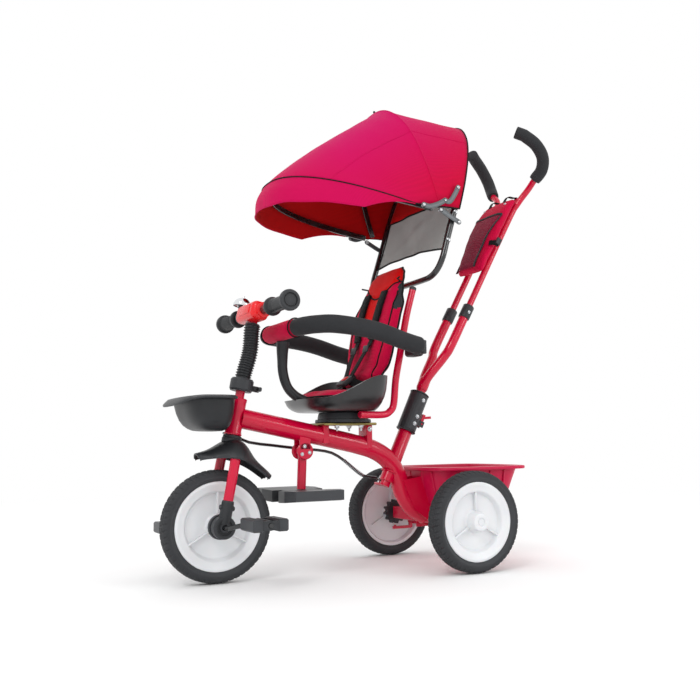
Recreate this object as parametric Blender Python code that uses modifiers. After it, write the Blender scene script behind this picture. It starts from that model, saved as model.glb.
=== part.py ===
"""Push tricycle with a folding canopy, metres, +Z up, front towards -Y, left side at +X.

Points are given from the rear axle's middle (y = 0) on the ground (z = 0). The empty named
tricycle moves them all, so that the origin is under the middle of the whole trike.
"""
import math

import bmesh
import bpy
from mathutils import Matrix, Vector

# ---- driving dimensions (metres, degrees) ----
GAP = 0.0003                # between pieces that touch
WHEELBASE = 0.519
TRACK = 0.380               # between the middles of the rear wheels
REAR_R = 0.110
FRONT_R = 0.1167
TYRE_W = 0.046
TYRE_H = 0.024              # radial thickness of a tyre
AXLE_R = 0.005
BORE_GAP = 0.0007           # radial room of a turning shaft
RAKE = 10.5                 # steering axis, top leans back
HEAD_LOW, HEAD_HIGH = 0.1915, 0.2705   # head tube ends, along the steering axis from the hub
HEAD_R = 0.017
STEERER_R = 0.010
FORK_X = 0.047              # half distance between the fork legs
FORK_R = 0.0105
CROWN = 0.172               # height of the fork crown over the hub
BAR_UP = 0.4605             # handlebar over the hub
BAR_R = 0.0105
BAR_HALF = 0.196
TUBE_R = 0.0215             # main tube
STEER_ARM = 0.034           # steering arm length, fork and push bar
PUSH_TILT = 25.2            # push bar axis, top leans back
PUSH_FOOT = (-0.112, 0.195)  # y, z of the push bar's lower end
PUSH_R = 0.0115
HANDLE_TILT = 29.2
HANDLE_X = 0.037            # half distance of the two handle tubes
HANDLE_R = 0.008
FERRULE = (0.104, 0.607)    # y, z of the ferrules
HANDLE_TOP = (0.280, 0.922)  # y, z of the handle's crosspiece
HORN_OUT = 0.118
HORN_R = 0.0155
SEAT_Y = -0.222             # swivel axis
SWIVEL_Z = 0.3300
SWIVEL_R = 0.063
SEAT_HALF = 0.130
SEAT_LEN = 0.190
SEAT_BASE = 0.3540
BACK_TOP = 0.697
HOOP_HALF = 0.165
HOOP_R = 0.007
HOOP_PIVOT = (-0.021, 0.788)
HOOP_TILT = 17.3
HOOP_REACH = 0.275          # from the pivot line to the top of the hoop
CANOPY_HALF = 0.1745
CLOTH = 0.0016
FOLD_AXIS = (-0.045, 0.800)
RING_Z = 0.532              # guard ring
RING_R = 0.0195
FOOT_PIVOT = (-0.323, 0.268)
FOOT_HALF = 0.110
FOOT_LEN = 0.130
DRUM_R = 0.030
BRAKE_PIVOT = (0.045, REAR_R - 0.027)
BASKET_HALF = 0.135

HUB = Vector((0, -WHEELBASE, FRONT_R))
STEER = Matrix.Translation(HUB) @ Matrix.Rotation(-math.radians(RAKE), 4, 'X')
PUSH = Matrix.Translation((0, *PUSH_FOOT)) @ Matrix.Rotation(-math.radians(PUSH_TILT), 4, 'X')
SLIDE_DIR = Vector((0, math.sin(math.radians(HANDLE_TILT)), math.cos(math.radians(HANDLE_TILT))))
REAR_END = HANDLE_TOP[0] + 0.0266
ORIGIN_Y = (WHEELBASE + FRONT_R - REAR_END) / 2

# ---- scene, materials, helpers ----
for old in list(bpy.data.objects):
    bpy.data.objects.remove(old, do_unlink=True)
PARTS = bpy.data.collections.new("tricycle")
bpy.context.scene.collection.children.link(PARTS)


def material(name, color, rough, metal=0.0):
    mat = bpy.data.materials.new(name)
    mat.use_nodes = True
    bsdf = mat.node_tree.nodes["Principled BSDF"]
    bsdf.inputs["Base Color"].default_value = (*color, 1)
    bsdf.inputs["Roughness"].default_value = rough
    bsdf.inputs["Metallic"].default_value = metal
    return mat


PAINT = material("crimson_paint", (0.60, 0.005, 0.045), 0.25)
BLACK_PAINT = material("black_paint", (0.02, 0.02, 0.022), 0.35)
PLASTIC = material("black_plastic", (0.03, 0.03, 0.032), 0.5)
RED_PLASTIC = material("red_plastic", (0.60, 0.006, 0.04), 0.35)
WHITE_PLASTIC = material("white_plastic", (0.82, 0.82, 0.82), 0.35)
TYRE = material("tyre_foam", (0.045, 0.045, 0.047), 0.8)
FOAM = material("grey_foam", (0.055, 0.055, 0.058), 0.85)
CLOTH_MAT = material("crimson_cloth", (0.55, 0.005, 0.05), 0.75)
GREY_CLOTH = material("grey_cloth", (0.12, 0.12, 0.13), 0.8)
STEEL = material("steel", (0.6, 0.6, 0.62), 0.3, 1.0)
CHROME = material("chrome", (0.8, 0.8, 0.82), 0.1, 1.0)

ROOT = bpy.data.objects.new("tricycle", None)
PARTS.objects.link(ROOT)
ROOT.location = (0, ORIGIN_Y, 0)


def pivot(name, at, parent=None):
    """An empty on a joint's axis, given in the rear axle's frame."""
    e = bpy.data.objects.new(name, None)
    PARTS.objects.link(e)
    base = Vector(parent["at"]) if parent else Vector()
    e.parent = parent or ROOT
    e.location = Vector(at) - base
    e["at"] = Vector(at)
    return e


def finish(ob, name, mat, body=None, smooth=True):
    """Name a piece, give it its material, and hang it on its body's empty."""
    ob.name = ob.data.name = name
    ob.data.materials.clear()
    ob.data.materials.append(mat)
    for c in list(ob.users_collection):
        c.objects.unlink(ob)
    PARTS.objects.link(ob)
    ob.parent = body or ROOT
    if body:
        ob.matrix_parent_inverse = Matrix.Translation(-Vector(body["at"]))
    if smooth and ob.type == 'MESH':
        ob.data.shade_smooth()
        ob.data.set_sharp_from_angle(angle=math.radians(40))
    return ob


def bake(ob):
    """Turn a curve, or a mesh with modifiers, into one plain mesh with its seams welded."""
    deps = bpy.context.evaluated_depsgraph_get()
    me = bpy.data.meshes.new_from_object(ob.evaluated_get(deps))
    bm = bmesh.new()
    bm.from_mesh(me)
    bmesh.ops.remove_doubles(bm, verts=bm.verts, dist=0.00001)
    bmesh.ops.recalc_face_normals(bm, faces=bm.faces)
    bm.to_mesh(me)
    bm.free()
    new = bpy.data.objects.new(ob.name, me)
    bpy.context.scene.collection.objects.link(new)
    new.matrix_world = ob.matrix_world.copy()
    bpy.data.objects.remove(ob, do_unlink=True)
    bpy.context.view_layer.update()
    return new


def combine(base, others, how):
    """Join others to base, or cut them out of it, and remove them."""
    for i, other in enumerate(others):
        mod = base.modifiers.new(f"{how}{i}", 'BOOLEAN')
        mod.operation = how
        mod.solver = 'EXACT'
        mod.object = other
    bpy.context.view_layer.update()
    out = bake(base)
    for other in others:
        bpy.data.objects.remove(other, do_unlink=True)
    return out


def union(base, *others):
    return combine(base, others, 'UNION')


def cut(base, *others):
    return combine(base, others, 'DIFFERENCE')


def box(size, at, turn=(0, 0, 0), bevel=0.0, segments=2, frame=None):
    bpy.ops.mesh.primitive_cube_add(size=1, location=at, rotation=turn)
    ob = bpy.context.object
    ob.data.transform(Matrix.Diagonal((*size, 1)))
    if frame is not None:
        ob.matrix_world = frame @ Matrix.LocRotScale(Vector(at), ob.rotation_euler, None)
    if bevel:
        mod = ob.modifiers.new("edges", 'BEVEL')
        mod.width, mod.segments = bevel, segments
    bpy.context.view_layer.update()
    return bake(ob) if bevel else ob


def rod(p0, p1, r, sides=20, frame=None):
    p0, p1 = Vector(p0), Vector(p1)
    if frame is not None:
        p0, p1 = frame @ p0, frame @ p1
    d = p1 - p0
    bpy.ops.mesh.primitive_cylinder_add(vertices=sides, radius=r, depth=d.length)
    ob = bpy.context.object
    ob.location = (p0 + p1) / 2
    ob.rotation_euler = d.to_track_quat('Z', 'Y').to_euler()
    bpy.context.view_layer.update()
    return ob


def smooth_path(points, steps):
    """Catmull-Rom curve through the points, steps pieces to each span."""
    p = [Vector(q) for q in points]
    p = [2 * p[0] - p[1]] + p + [2 * p[-1] - p[-2]]
    out = []
    for i in range(1, len(p) - 2):
        for k in range(steps):
            t = k / steps
            a, b, c, d = p[i - 1:i + 3]
            out.append(0.5 * (2 * b + (c - a) * t + (2 * a - 5 * b + 4 * c - d) * t * t
                              + (3 * b - a - 3 * c + d) * t ** 3))
    return out + [p[-2]]


def tube(points, r, fine=3, frame=None, cyclic=False, flat=1.0):
    cu = bpy.data.curves.new("tube", 'CURVE')
    cu.dimensions = '3D'
    cu.bevel_depth, cu.bevel_resolution = r, fine
    cu.use_fill_caps = True
    sp = cu.splines.new('POLY')
    sp.points.add(len(points) - 1)
    for q, p in zip(sp.points, points):
        p = Vector(p) if frame is None else frame @ Vector(p)
        q.co = (*p, 1)
    sp.use_cyclic_u = cyclic
    ob = bpy.data.objects.new("tube", cu)
    bpy.context.scene.collection.objects.link(ob)
    bpy.context.view_layer.update()
    return bake(ob)


def turned(profile, at, direction, steps=32, frame=None):
    """A profile of (radius, height) pairs turned about direction; it runs top to bottom outside."""
    me = bpy.data.meshes.new("turned")
    closed = profile[0] == profile[-1]
    pts = profile[:-1] if closed else profile
    edges = [(i, i + 1) for i in range(len(pts) - 1)]
    if closed:
        edges.append((len(pts) - 1, 0))
    me.from_pydata([(r, 0, h) for r, h in pts], edges, [])
    ob = bpy.data.objects.new("turned", me)
    bpy.context.scene.collection.objects.link(ob)
    at, direction = Vector(at), Vector(direction)
    if frame is not None:
        at, direction = frame @ at, frame.to_3x3() @ direction
    ob.location = at
    ob.rotation_euler = direction.to_track_quat('Z', 'Y').to_euler()
    mod = ob.modifiers.new("turn", 'SCREW')
    mod.steps = mod.render_steps = steps
    mod.use_merge_vertices = True
    mod.merge_threshold = 0.00001
    bpy.context.view_layer.update()
    return bake(ob)


def loft(rings, frame=None):
    """A closed solid through rings of equal point counts, with a flat cap at each end."""
    bm = bmesh.new()
    rows = [[bm.verts.new(p if frame is None else frame @ Vector(p)) for p in ring]
            for ring in rings]
    n = len(rows[0])
    for a, b in zip(rows, rows[1:]):
        for i in range(n):
            bm.faces.new((a[i], a[(i + 1) % n], b[(i + 1) % n], b[i]))
    for end in (rows[0], rows[-1]):
        mid = bm.verts.new(sum((v.co for v in end), Vector()) / n)
        for i in range(n):
            bm.faces.new((end[i], end[(i + 1) % n], mid))
    bmesh.ops.recalc_face_normals(bm, faces=bm.faces)
    me = bpy.data.meshes.new("loft")
    bm.to_mesh(me)
    bm.free()
    ob = bpy.data.objects.new("loft", me)
    bpy.context.scene.collection.objects.link(ob)
    bpy.context.view_layer.update()
    return ob


def rounded(half_x, half_y, n=24, power=4.0):
    """A rounded rectangle's outline as (x, y) pairs, anticlockwise."""
    out = []
    for i in range(n):
        a = 2 * math.pi * (i + 0.5) / n
        c, s = math.cos(a), math.sin(a)
        out.append((half_x * math.copysign(abs(c) ** (2 / power), c),
                    half_y * math.copysign(abs(s) ** (2 / power), s)))
    return out


def mirror_x(p):
    return (-p[0], *p[1:])


# ---- bodies' empties, each on its joint's axis ----
fork_at = STEER @ Vector((0, 0, HEAD_LOW))
steering = pivot("steering_axis", fork_at)
front_wheel = pivot("front_wheel_axis", HUB, steering)
CRANK_DIR = Vector((0, 0.9575, 0.2884))
THROW = 0.0450
CRANK = CRANK_DIR * THROW
pedal_at = {s: HUB + CRANK * s + Vector((0.165 * s, 0, 0)) for s in (1, -1)}
pedals = {s: pivot(f"pedal_axis_{n}", pedal_at[s], front_wheel)
          for s, n in ((1, "left"), (-1, "right"))}
rears = {s: pivot(f"rear_wheel_axis_{n}", (s * TRACK / 2, 0, REAR_R))
         for s, n in ((1, "left"), (-1, "right"))}
seat = pivot("seat_axis", (0, SEAT_Y, SWIVEL_Z))
ARM_HINGE = (0.158, -0.100, 0.4925)
arms = {s: pivot(f"guard_axis_{n}", (s * ARM_HINGE[0], *ARM_HINGE[1:]), seat)
        for s, n in ((1, "left"), (-1, "right"))}
fold_front = pivot("canopy_front_axis", (0, *FOLD_AXIS), seat)
fold_mid = pivot("canopy_middle_axis", (0, *FOLD_AXIS), seat)
foot = pivot("footrest_axis", (0, *FOOT_PIVOT))
push = pivot("push_bar_axis", (0, *PUSH_FOOT))
slide = pivot("handle_slide", (0, *FERRULE), push)
link_at = STEER @ Vector((-STEER_ARM, 0, HEAD_LOW))
link = pivot("steering_rod_axis", link_at, steering)
brake = pivot("brake_axis", (0, *BRAKE_PIVOT))
KNOB = (0, 0.026, 0.2970)
knob = pivot("knob_axis", STEER @ Vector(KNOB), steering)
BELL_X = -0.077
bell = pivot("bell_lever_axis", STEER @ Vector((BELL_X, -0.006, BAR_UP + 0.022)), steering)
LATCH = (0, 0.0290, 0.158)
latch = pivot("coupling_lever_axis", PUSH @ Vector(LATCH))

# ---- frame: welded steel ----
DOWN = [(0, 0.051 - WHEELBASE, 0.3405), (0, 0.119 - WHEELBASE, 0.3265), (0, -0.335, 0.3125), (0, -0.262, 0.2970),
        (0, -0.190, 0.2810), (0, -0.142, 0.2665), (0, -0.106, 0.2430), (0, -0.083, 0.2080),
        (0, -0.068, REAR_R + 0.0580), (0, -0.044, REAR_R + 0.0230), (0, -0.010, REAR_R + 0.0020)]
AXLE_Z = REAR_R
HOUSE = TRACK / 2 - TYRE_W / 2 - 0.0220      # half length of the axle housing
frame = rod((0, 0, HEAD_LOW), (0, 0, HEAD_HIGH), HEAD_R, 24, STEER)
pieces = [
    tube(smooth_path(DOWN, 2), TUBE_R, 3),
    box((2 * HOUSE, 0.030, 0.030), (0, 0, AXLE_Z), bevel=0.004, segments=1),
    box((0.080, 0.132, 0.007), (0, SEAT_Y, SWIVEL_Z - GAP - 0.0035)),
    box((0.044, 0.007, 0.040), (0, SEAT_Y - 0.052, SWIVEL_Z - 0.021)),
    box((0.044, 0.007, 0.058), (0, SEAT_Y + 0.057, SWIVEL_Z - 0.030)),
    rod((0, 0, 0), (0, 0, 0.1265), PUSH_R + 0.0050, 24, PUSH),
]
for s in (1, -1):
    pieces.append(rod((s * 0.0125, *FOOT_PIVOT), (s * 0.0175, *FOOT_PIVOT), 0.0190, 24))
    pieces.append(box((0.0050, 0.026, 0.034), (s * 0.0150, FOOT_PIVOT[0], FOOT_PIVOT[1] + 0.021)))
    pieces.append(box((0.0040, 0.046, 0.024), (s * 0.070, 0.032, BRAKE_PIVOT[1] + 0.007)))
    pieces.append(rod((s * 0.0170, *FOOT_PIVOT), (s * 0.0215, *FOOT_PIVOT), 0.0070, 12))
pieces.append(rod((-0.0180, *FOOT_PIVOT), (0.0180, *FOOT_PIVOT), 0.0040, 16))
frame = union(frame, *pieces)
frame = cut(frame,
            rod((0, 0, HEAD_LOW - 0.01), (0, 0, HEAD_HIGH + 0.01), STEERER_R + BORE_GAP, 24, STEER),
            rod((0, 0, -0.02), (0, 0, 0.14), PUSH_R + BORE_GAP, 24, PUSH),
            rod((-0.3, 0, AXLE_Z), (0.3, 0, AXLE_Z), AXLE_R + GAP, 24),
            rod((-0.08, *BRAKE_PIVOT), (0.08, *BRAKE_PIVOT), AXLE_R + BORE_GAP, 24))
finish(frame, "main_frame", PAINT)

AXLE_END = TRACK / 2 + 0.014
finish(rod((-AXLE_END, 0, AXLE_Z), (AXLE_END, 0, AXLE_Z), AXLE_R, 12), "rear_axle", STEEL)
base = turned([(0, 0.0070), (SWIVEL_R, 0.0070), (SWIVEL_R + 0.001, 0.0010), (SWIVEL_R, 0), (0, 0)],
              (0, SEAT_Y, SWIVEL_Z), (0, 0, 1), 28)
finish(base, "swivel_base", PLASTIC)
sleeve = turned([(PUSH_R + BORE_GAP, 0.100), (0.0200, 0.100), (0.0225, 0.094), (0.0225, 0.006),
                 (0.0200, 0), (PUSH_R + BORE_GAP, 0), (PUSH_R + BORE_GAP, 0.100)],
                (0, 0, 0.1265 + GAP), (0, 0, 1), 24, PUSH)
for s in (1, -1):
    sleeve = union(sleeve, box((0.0040, 0.016, 0.014), (s * 0.0075, LATCH[1] - 0.0020, LATCH[2]),
                               frame=PUSH))
sleeve = cut(sleeve, rod((-0.02, *LATCH[1:]), (0.02, *LATCH[1:]), 0.0024, 12, PUSH))
finish(sleeve, "coupling_sleeve", PLASTIC)


def tub(outer, wall, floor):
    """An open tub: outer rings from the bottom up to the rim, then the same ones inside."""
    inner = []
    for k, (hx, hy, cy, z, slope) in enumerate(reversed(outer)):
        zi = z if k == 0 else max(z, outer[0][3] + floor)
        inner.append((hx - wall, hy - wall, cy, zi, slope))
    rings = []
    for hx, hy, cy, z, slope in outer + inner:
        rings.append([(x, cy + y, z + slope * y) for x, y in rounded(hx, hy, 28, 5)])
    return loft(rings)


# Rear tub: half width, half length, middle y, height, slope along y
TUB_Z = REAR_R + 0.0250              # its floor clears the axle housing
rear_tub = tub([(BASKET_HALF - 0.043, 0.080, 0.072, TUB_Z, 0),
                (BASKET_HALF - 0.031, 0.092, 0.076, TUB_Z + 0.0035, 0),
                (BASKET_HALF - 0.023, 0.108, 0.080, TUB_Z + 0.055, 0),
                (BASKET_HALF - 0.018, 0.116, 0.083, TUB_Z + 0.0820, 0),
                (BASKET_HALF, 0.131, 0.085, TUB_Z + 0.0830, 0),
                (BASKET_HALF, 0.131, 0.085, TUB_Z + 0.0890, 0),
                (BASKET_HALF - 0.014, 0.119, 0.084, TUB_Z + 0.0910, 0)], 0.0028, 0.0030)
finish(rear_tub, "rear_tub", RED_PLASTIC)
# Front tub: its back follows the head tube's rake, and its lip droops forwards
FRONT = -WHEELBASE
front_tub = tub([(0.060, 0.030, FRONT - 0.0170, 0.3165, -0.04), (0.070, 0.036, FRONT - 0.0200, 0.3190, -0.05),
                 (0.084, 0.048, FRONT - 0.0250, 0.3500, -0.05), (0.088, 0.054, FRONT - 0.0280, 0.3730, 0.03),
                 (0.102, 0.0660, FRONT - 0.0370, 0.3760, 0.10), (0.102, 0.0660, FRONT - 0.0370, 0.3810, 0.10),
                 (0.092, 0.0580, FRONT - 0.0310, 0.3850, 0.09)], 0.0028, 0.0030)
hook = box((0.030, 0.016, 0.040), (0, -0.026, 0.2440), frame=STEER)
front_tub = union(front_tub, hook)
front_tub = cut(front_tub, rod((0, 0, 0.15), (0, 0, 0.30), HEAD_R + GAP, 24, STEER))
finish(front_tub, "front_tub", PLASTIC)

# ---- steering body ----
leg = [(FORK_X, 0, 0), (FORK_X, 0, 0.060), (FORK_X, 0, 0.120), (0.0435, 0, 0.148),
       (0.0320, 0, 0.166), (0.0160, 0, CROWN), (0, 0, CROWN + 0.001)]
path = leg + [mirror_x(p) for p in reversed(leg[:-1])]
fork = tube(path, FORK_R, 3, STEER)
HUB_BORE = AXLE_R + BORE_GAP
ARM_T = HEAD_LOW - 0.0050
fork = union(fork, rod((0, 0, CROWN), (0, 0, BAR_UP - BAR_R - GAP), STEERER_R, 24, STEER),
             rod((0.036, 0, 0), (0.058, 0, 0), 0.0240, 24, STEER),
             rod((-0.036, 0, 0), (-0.058, 0, 0), 0.0240, 24, STEER),
             box((STEER_ARM + 0.006, 0.014, 0.004), (-(STEER_ARM + 0.006) / 2, 0, ARM_T),
                 frame=STEER),
             rod((-STEER_ARM, 0, ARM_T), (-STEER_ARM, 0, HEAD_LOW + 0.010), 0.0030, 12, STEER))
fork = cut(fork, rod((-0.08, 0, 0), (0.08, 0, 0), HUB_BORE, 20, STEER))
finish(fork, "fork", PAINT, steering)

FENDER_R, FENDER_HALF = FRONT_R + 0.0380, 0.0300
rings = []
for k in range(11):
    a = math.radians(26 - 64 * k / 10)
    cr = [(-1, -0.006), (-0.6, -0.001), (0, 0), (0.6, -0.001), (1, -0.006)]
    ring = [(x * FENDER_HALF, FENDER_R + d) for x, d in cr]
    ring += [(x * FENDER_HALF * 0.97, FENDER_R + d - 0.0025) for x, d in reversed(cr)]
    rings.append([(x, -math.sin(a) * r, math.cos(a) * r) for x, r in ring])
fender = loft(rings, STEER)
finish(fender, "fender", PLASTIC, steering)

COLLAR = 0.2860
STEM_TOP = BAR_UP - 0.0245
FOLD = (STEM_TOP - COLLAR - 0.028) / 6.26     # pitch of the folds
prof = [(STEERER_R + GAP, STEM_TOP)]
for k in range(6):
    top = STEM_TOP - FOLD * k
    prof += [(0.0160, top), (0.0180, top - 0.26 * FOLD), (0.0180, top - 0.67 * FOLD), (0.0160, top - 0.9 * FOLD)]
prof += [(0.0160, COLLAR + 0.028), (STEERER_R + GAP, COLLAR + 0.028), prof[0]]
finish(turned(prof, (0, 0, 0), (0, 0, 1), 16, STEER), "stem_cover", PLASTIC, steering)
collar = turned([(STEERER_R + GAP, 0.0275), (0.0225, 0.0275), (0.0250, 0.0235), (0.0250, 0.004),
                 (0.0225, 0), (STEERER_R + GAP, 0), (STEERER_R + GAP, 0.0275)],
                (0, 0, COLLAR), (0, 0, 1), 24, STEER)
finish(collar, "stem_collar", PLASTIC, steering)
wing = union(rod((0, KNOB[1], KNOB[2]), (0, KNOB[1] + 0.014, KNOB[2]), 0.0065, 12, STEER),
             box((0.034, 0.008, 0.010), (0, KNOB[1] + 0.012, KNOB[2]), bevel=0.003, frame=STEER))
finish(wing, "collar_knob", PLASTIC, knob)

bar = rod((-BAR_HALF, 0, BAR_UP), (BAR_HALF, 0, BAR_UP), BAR_R, 20, STEER)
finish(bar, "handlebar", BLACK_PAINT, steering)
cover = box((0.112, 0.046, 0.046), (0, -0.006, BAR_UP + 0.0005), bevel=0.012, segments=3,
            frame=STEER)
cover = cut(cover, rod((-0.1, 0, BAR_UP), (0.1, 0, BAR_UP), BAR_R + GAP, 20, STEER),
            rod((0, 0, BAR_UP - 0.06), (0, 0, BAR_UP), STEERER_R + GAP, 24, STEER))
finish(cover, "handlebar_cover", RED_PLASTIC, steering)
for s, n in ((1, "left"), (-1, "right")):
    end = BAR_HALF + 0.007
    prof = [(0, end), (0.0185, end), (0.0220, end - 0.003), (0.0220, end - 0.009),
            (0.0160, end - 0.013), (0.0152, 0.150), (0.0160, 0.112), (0.0200, 0.108),
            (0.0200, 0.102), (BAR_R + GAP, 0.102), (BAR_R + GAP, BAR_HALF + GAP),
            (0, BAR_HALF + GAP)]
    grip = turned(prof, (0, 0, BAR_UP), (s, 0, 0), 20, STEER)
    finish(grip, f"grip_{n}", PLASTIC, steering)
clamp = rod((BELL_X - 0.008, 0, BAR_UP), (BELL_X + 0.008, 0, BAR_UP), BAR_R + 0.004, 20, STEER)
clamp = union(clamp, rod((BELL_X, -0.006, BAR_UP), (BELL_X, -0.006, BAR_UP + 0.0195), 0.0075, 16,
                         STEER))
clamp = cut(clamp, rod((-0.2, 0, BAR_UP), (0.0, 0, BAR_UP), BAR_R + GAP, 20, STEER))
finish(clamp, "bell_clamp", PLASTIC, steering)
prof = [(0, 0.021)] + [(0.0205 * math.sin(a), 0.021 * math.cos(a)) for a in
                       (0.35, 0.7, 1.05, 1.4)] + [(0.0205, 0), (0, 0)]
dome = turned(prof, (BELL_X, -0.006, BAR_UP + 0.0255), (0, 0, 1), 20, STEER)
finish(dome, "bell_dome", CHROME, steering)
lever = union(rod((BELL_X, -0.006, BAR_UP + 0.0200), (BELL_X, -0.006, BAR_UP + 0.0250), 0.0085, 12,
                  STEER),
              box((0.006, 0.034, 0.0030), (BELL_X, 0.010, BAR_UP + 0.0225), frame=STEER))
finish(lever, "bell_lever", PLASTIC, bell)

# ---- front wheel with its crank and pedals ----
RIM_GAP = 0.0004


def tyre(radius, at, direction):
    r0, r1, h = radius - TYRE_H, radius, TYRE_W / 2
    prof = [(r0, h * 0.72), (r0 + 0.006, h * 0.94), (r1 - 0.010, h), (r1 - 0.003, h * 0.80),
            (r1, h * 0.42), (r1, -h * 0.42), (r1 - 0.003, -h * 0.80), (r1 - 0.010, -h),
            (r0 + 0.006, -h * 0.94), (r0, -h * 0.72), (r0, h * 0.72)]
    return turned(prof, at, direction, 32)


def rim(radius, at, direction, boss, bore, through):
    """Dished wheel: boss out to radius, three ribs; the bore is blind on a rear wheel."""
    r, h = radius - TYRE_H - RIM_GAP * max(1, radius / FRONT_R) ** 3, TYRE_W / 2
    prof = [] if through else [(0, boss), (0.012, boss)]
    if through:
        prof.append((bore, boss))
    prof += [(0.0200, boss - 0.001), (0.0220, boss - 0.006), (0.0240, 0.004), (r - 0.028, 0.002),
             (r - 0.024, 0.010), (r - 0.012, 0.012), (r - 0.009, h * 0.80), (r, h * 0.80),
             (r, -h * 0.80), (r - 0.007, -h * 0.80), (r - 0.010, -0.006), (0.0240, -0.006),
             (0.0200, -h), (bore, -h)]
    if through:
        prof.append((bore, boss))
    else:
        prof += [(bore, 0.0150), (0, 0.0150)]
    ob = turned(prof, at, direction, 24)
    d = Vector(direction)
    for k in range(3):
        a = math.radians(90 + 120 * k)
        radial = Vector((0, math.cos(a), math.sin(a)))
        m = Matrix.Translation(Vector(at) + d * 0.007 + radial * (r / 2 + 0.004))
        m = m @ Matrix.Rotation(a, 4, 'X')
        ob = union(ob, box((0.012, r - 0.034, 0.012), (0, 0, 0), frame=m))
    return ob


finish(tyre(FRONT_R, HUB, (1, 0, 0)), "front_tyre", TYRE, front_wheel)
finish(rim(FRONT_R, HUB, (1, 0, 0), TYRE_W / 2, 0.0124, True), "front_rim", WHITE_PLASTIC,
       front_wheel)
hub = turned([(AXLE_R + GAP, 0.033), (0.0250, 0.033), (0.0260, 0.031), (0.0260, 0.0235),
              (0.0120, 0.0235), (0.0120, -0.0325), (AXLE_R + GAP, -0.0325), (AXLE_R + GAP, 0.033)],
             HUB, (1, 0, 0), 24)
finish(hub, "front_hub", PLASTIC, front_wheel)
PIN_END = 0.203
crank_path = []
for s in (1, -1):
    side = [HUB + CRANK * s + Vector((s * PIN_END, 0, 0)), HUB + CRANK * s + Vector((s * 0.120, 0, 0)),
            HUB + CRANK * s * 0.93 + Vector((s * 0.112, 0, 0)),
            HUB + CRANK * s * 0.07 + Vector((s * 0.078, 0, 0)), HUB + Vector((s * 0.070, 0, 0))]
    crank_path += side if s == 1 else side[::-1]
finish(tube(crank_path, AXLE_R, 3), "crank", BLACK_PAINT, front_wheel)
for s, n in ((1, "left"), (-1, "right")):
    c = pedal_at[s]
    parts = [box((0.076, 0.022, 0.024), c + Vector((0, dy, 0)), bevel=0.003, segments=1)
             for dy in (0.0255, -0.0255)]
    core = rod(c - Vector((0.036, 0, 0)), c + Vector((0.034, 0, 0)), 0.0100, 16)
    plates = [box((0.005, 0.060, 0.018), c + Vector((dx, 0, 0))) for dx in (0.034, -0.034)]
    pedal = union(core, *parts, *plates)
    pedal = cut(pedal, rod(c - Vector((0.06, 0, 0)), c + Vector((0.06, 0, 0)), HUB_BORE, 20))
    finish(pedal, f"pedal_{n}", PLASTIC, pedals[s])

# ---- rear wheels ----
for s, n in ((1, "left"), (-1, "right")):
    at = (s * TRACK / 2, 0, REAR_R)
    finish(tyre(REAR_R, at, (s, 0, 0)), f"rear_tyre_{n}", TYRE, rears[s])
    finish(rim(REAR_R, at, (s, 0, 0), 0.0300, AXLE_R + GAP, False), f"rear_rim_{n}", WHITE_PLASTIC,
           rears[s])
    me = bpy.data.meshes.new("drum")
    bm = bmesh.new()
    ring = []
    TEETH = 12
    for k in range(TEETH * 4):
        a = 2 * math.pi * (k + 0.5) / (TEETH * 4)
        r = DRUM_R if k % 4 in (0, 1) else DRUM_R - 0.006
        ring.append(bm.verts.new((math.cos(a) * r, math.sin(a) * r, 0)))
    out = bmesh.ops.extrude_face_region(bm, geom=[bm.faces.new(ring)])
    bmesh.ops.translate(bm, vec=(0, 0, 0.014),
                        verts=[v for v in out["geom"] if isinstance(v, bmesh.types.BMVert)])
    bmesh.ops.recalc_face_normals(bm, faces=bm.faces)
    bm.to_mesh(me)
    bm.free()
    drum = bpy.data.objects.new("drum", me)
    bpy.context.scene.collection.objects.link(drum)
    inner = TRACK / 2 - TYRE_W / 2 - GAP
    drum.matrix_world = Matrix.Translation((s * inner, 0, REAR_R)) @ Matrix.Rotation(
        math.radians(-90 * s), 4, 'Y')
    bpy.context.view_layer.update()
    drum = cut(drum, rod((0, 0, REAR_R), (s * 0.3, 0, REAR_R), AXLE_R + GAP, 24))
    finish(drum, f"brake_drum_{n}", PLASTIC, rears[s])

# ---- brake lever ----
by, bz = BRAKE_PIVOT
DRUM_X = TRACK / 2 - TYRE_W / 2 - 0.0075
lever = rod((-DRUM_X - 0.004, by, bz), (DRUM_X + 0.004, by, bz), AXLE_R, 16)
more = []
for s in (1, -1):
    more.append(box((0.007, by + 0.006, 0.007), (s * DRUM_X, by / 2 - 0.003, bz - 0.0130)))
    more.append(box((0.007, 0.008, 0.018), (s * DRUM_X, by, bz - 0.006)))
    more.append(box((0.007, 0.004, 0.006), (s * DRUM_X, 0, REAR_R - DRUM_R - 0.0065)))
    more.append(box((0.010, 0.125, 0.005), (s * 0.040, by + 0.060, bz)))
more.append(box((0.110, 0.034, 0.006), (0, by + 0.128, bz), bevel=0.002, segments=1))
finish(union(lever, *more), "brake_lever", PAINT, brake)

# ---- coupling lever ----
ly, lz = LATCH[1] + 0.0, LATCH[2]
hook = union(box((0.0100, 0.007, 0.030), (0, ly + 0.0010, lz + 0.010), frame=PUSH),
             box((0.0100, 0.020, 0.006), (0, ly + 0.0110, lz + 0.022), (0.5, 0, 0), frame=PUSH),
             rod((-0.0104, ly, lz), (0.0104, ly, lz), 0.0018, 12, PUSH))
finish(hook, "coupling_lever", PAINT, latch)

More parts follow.
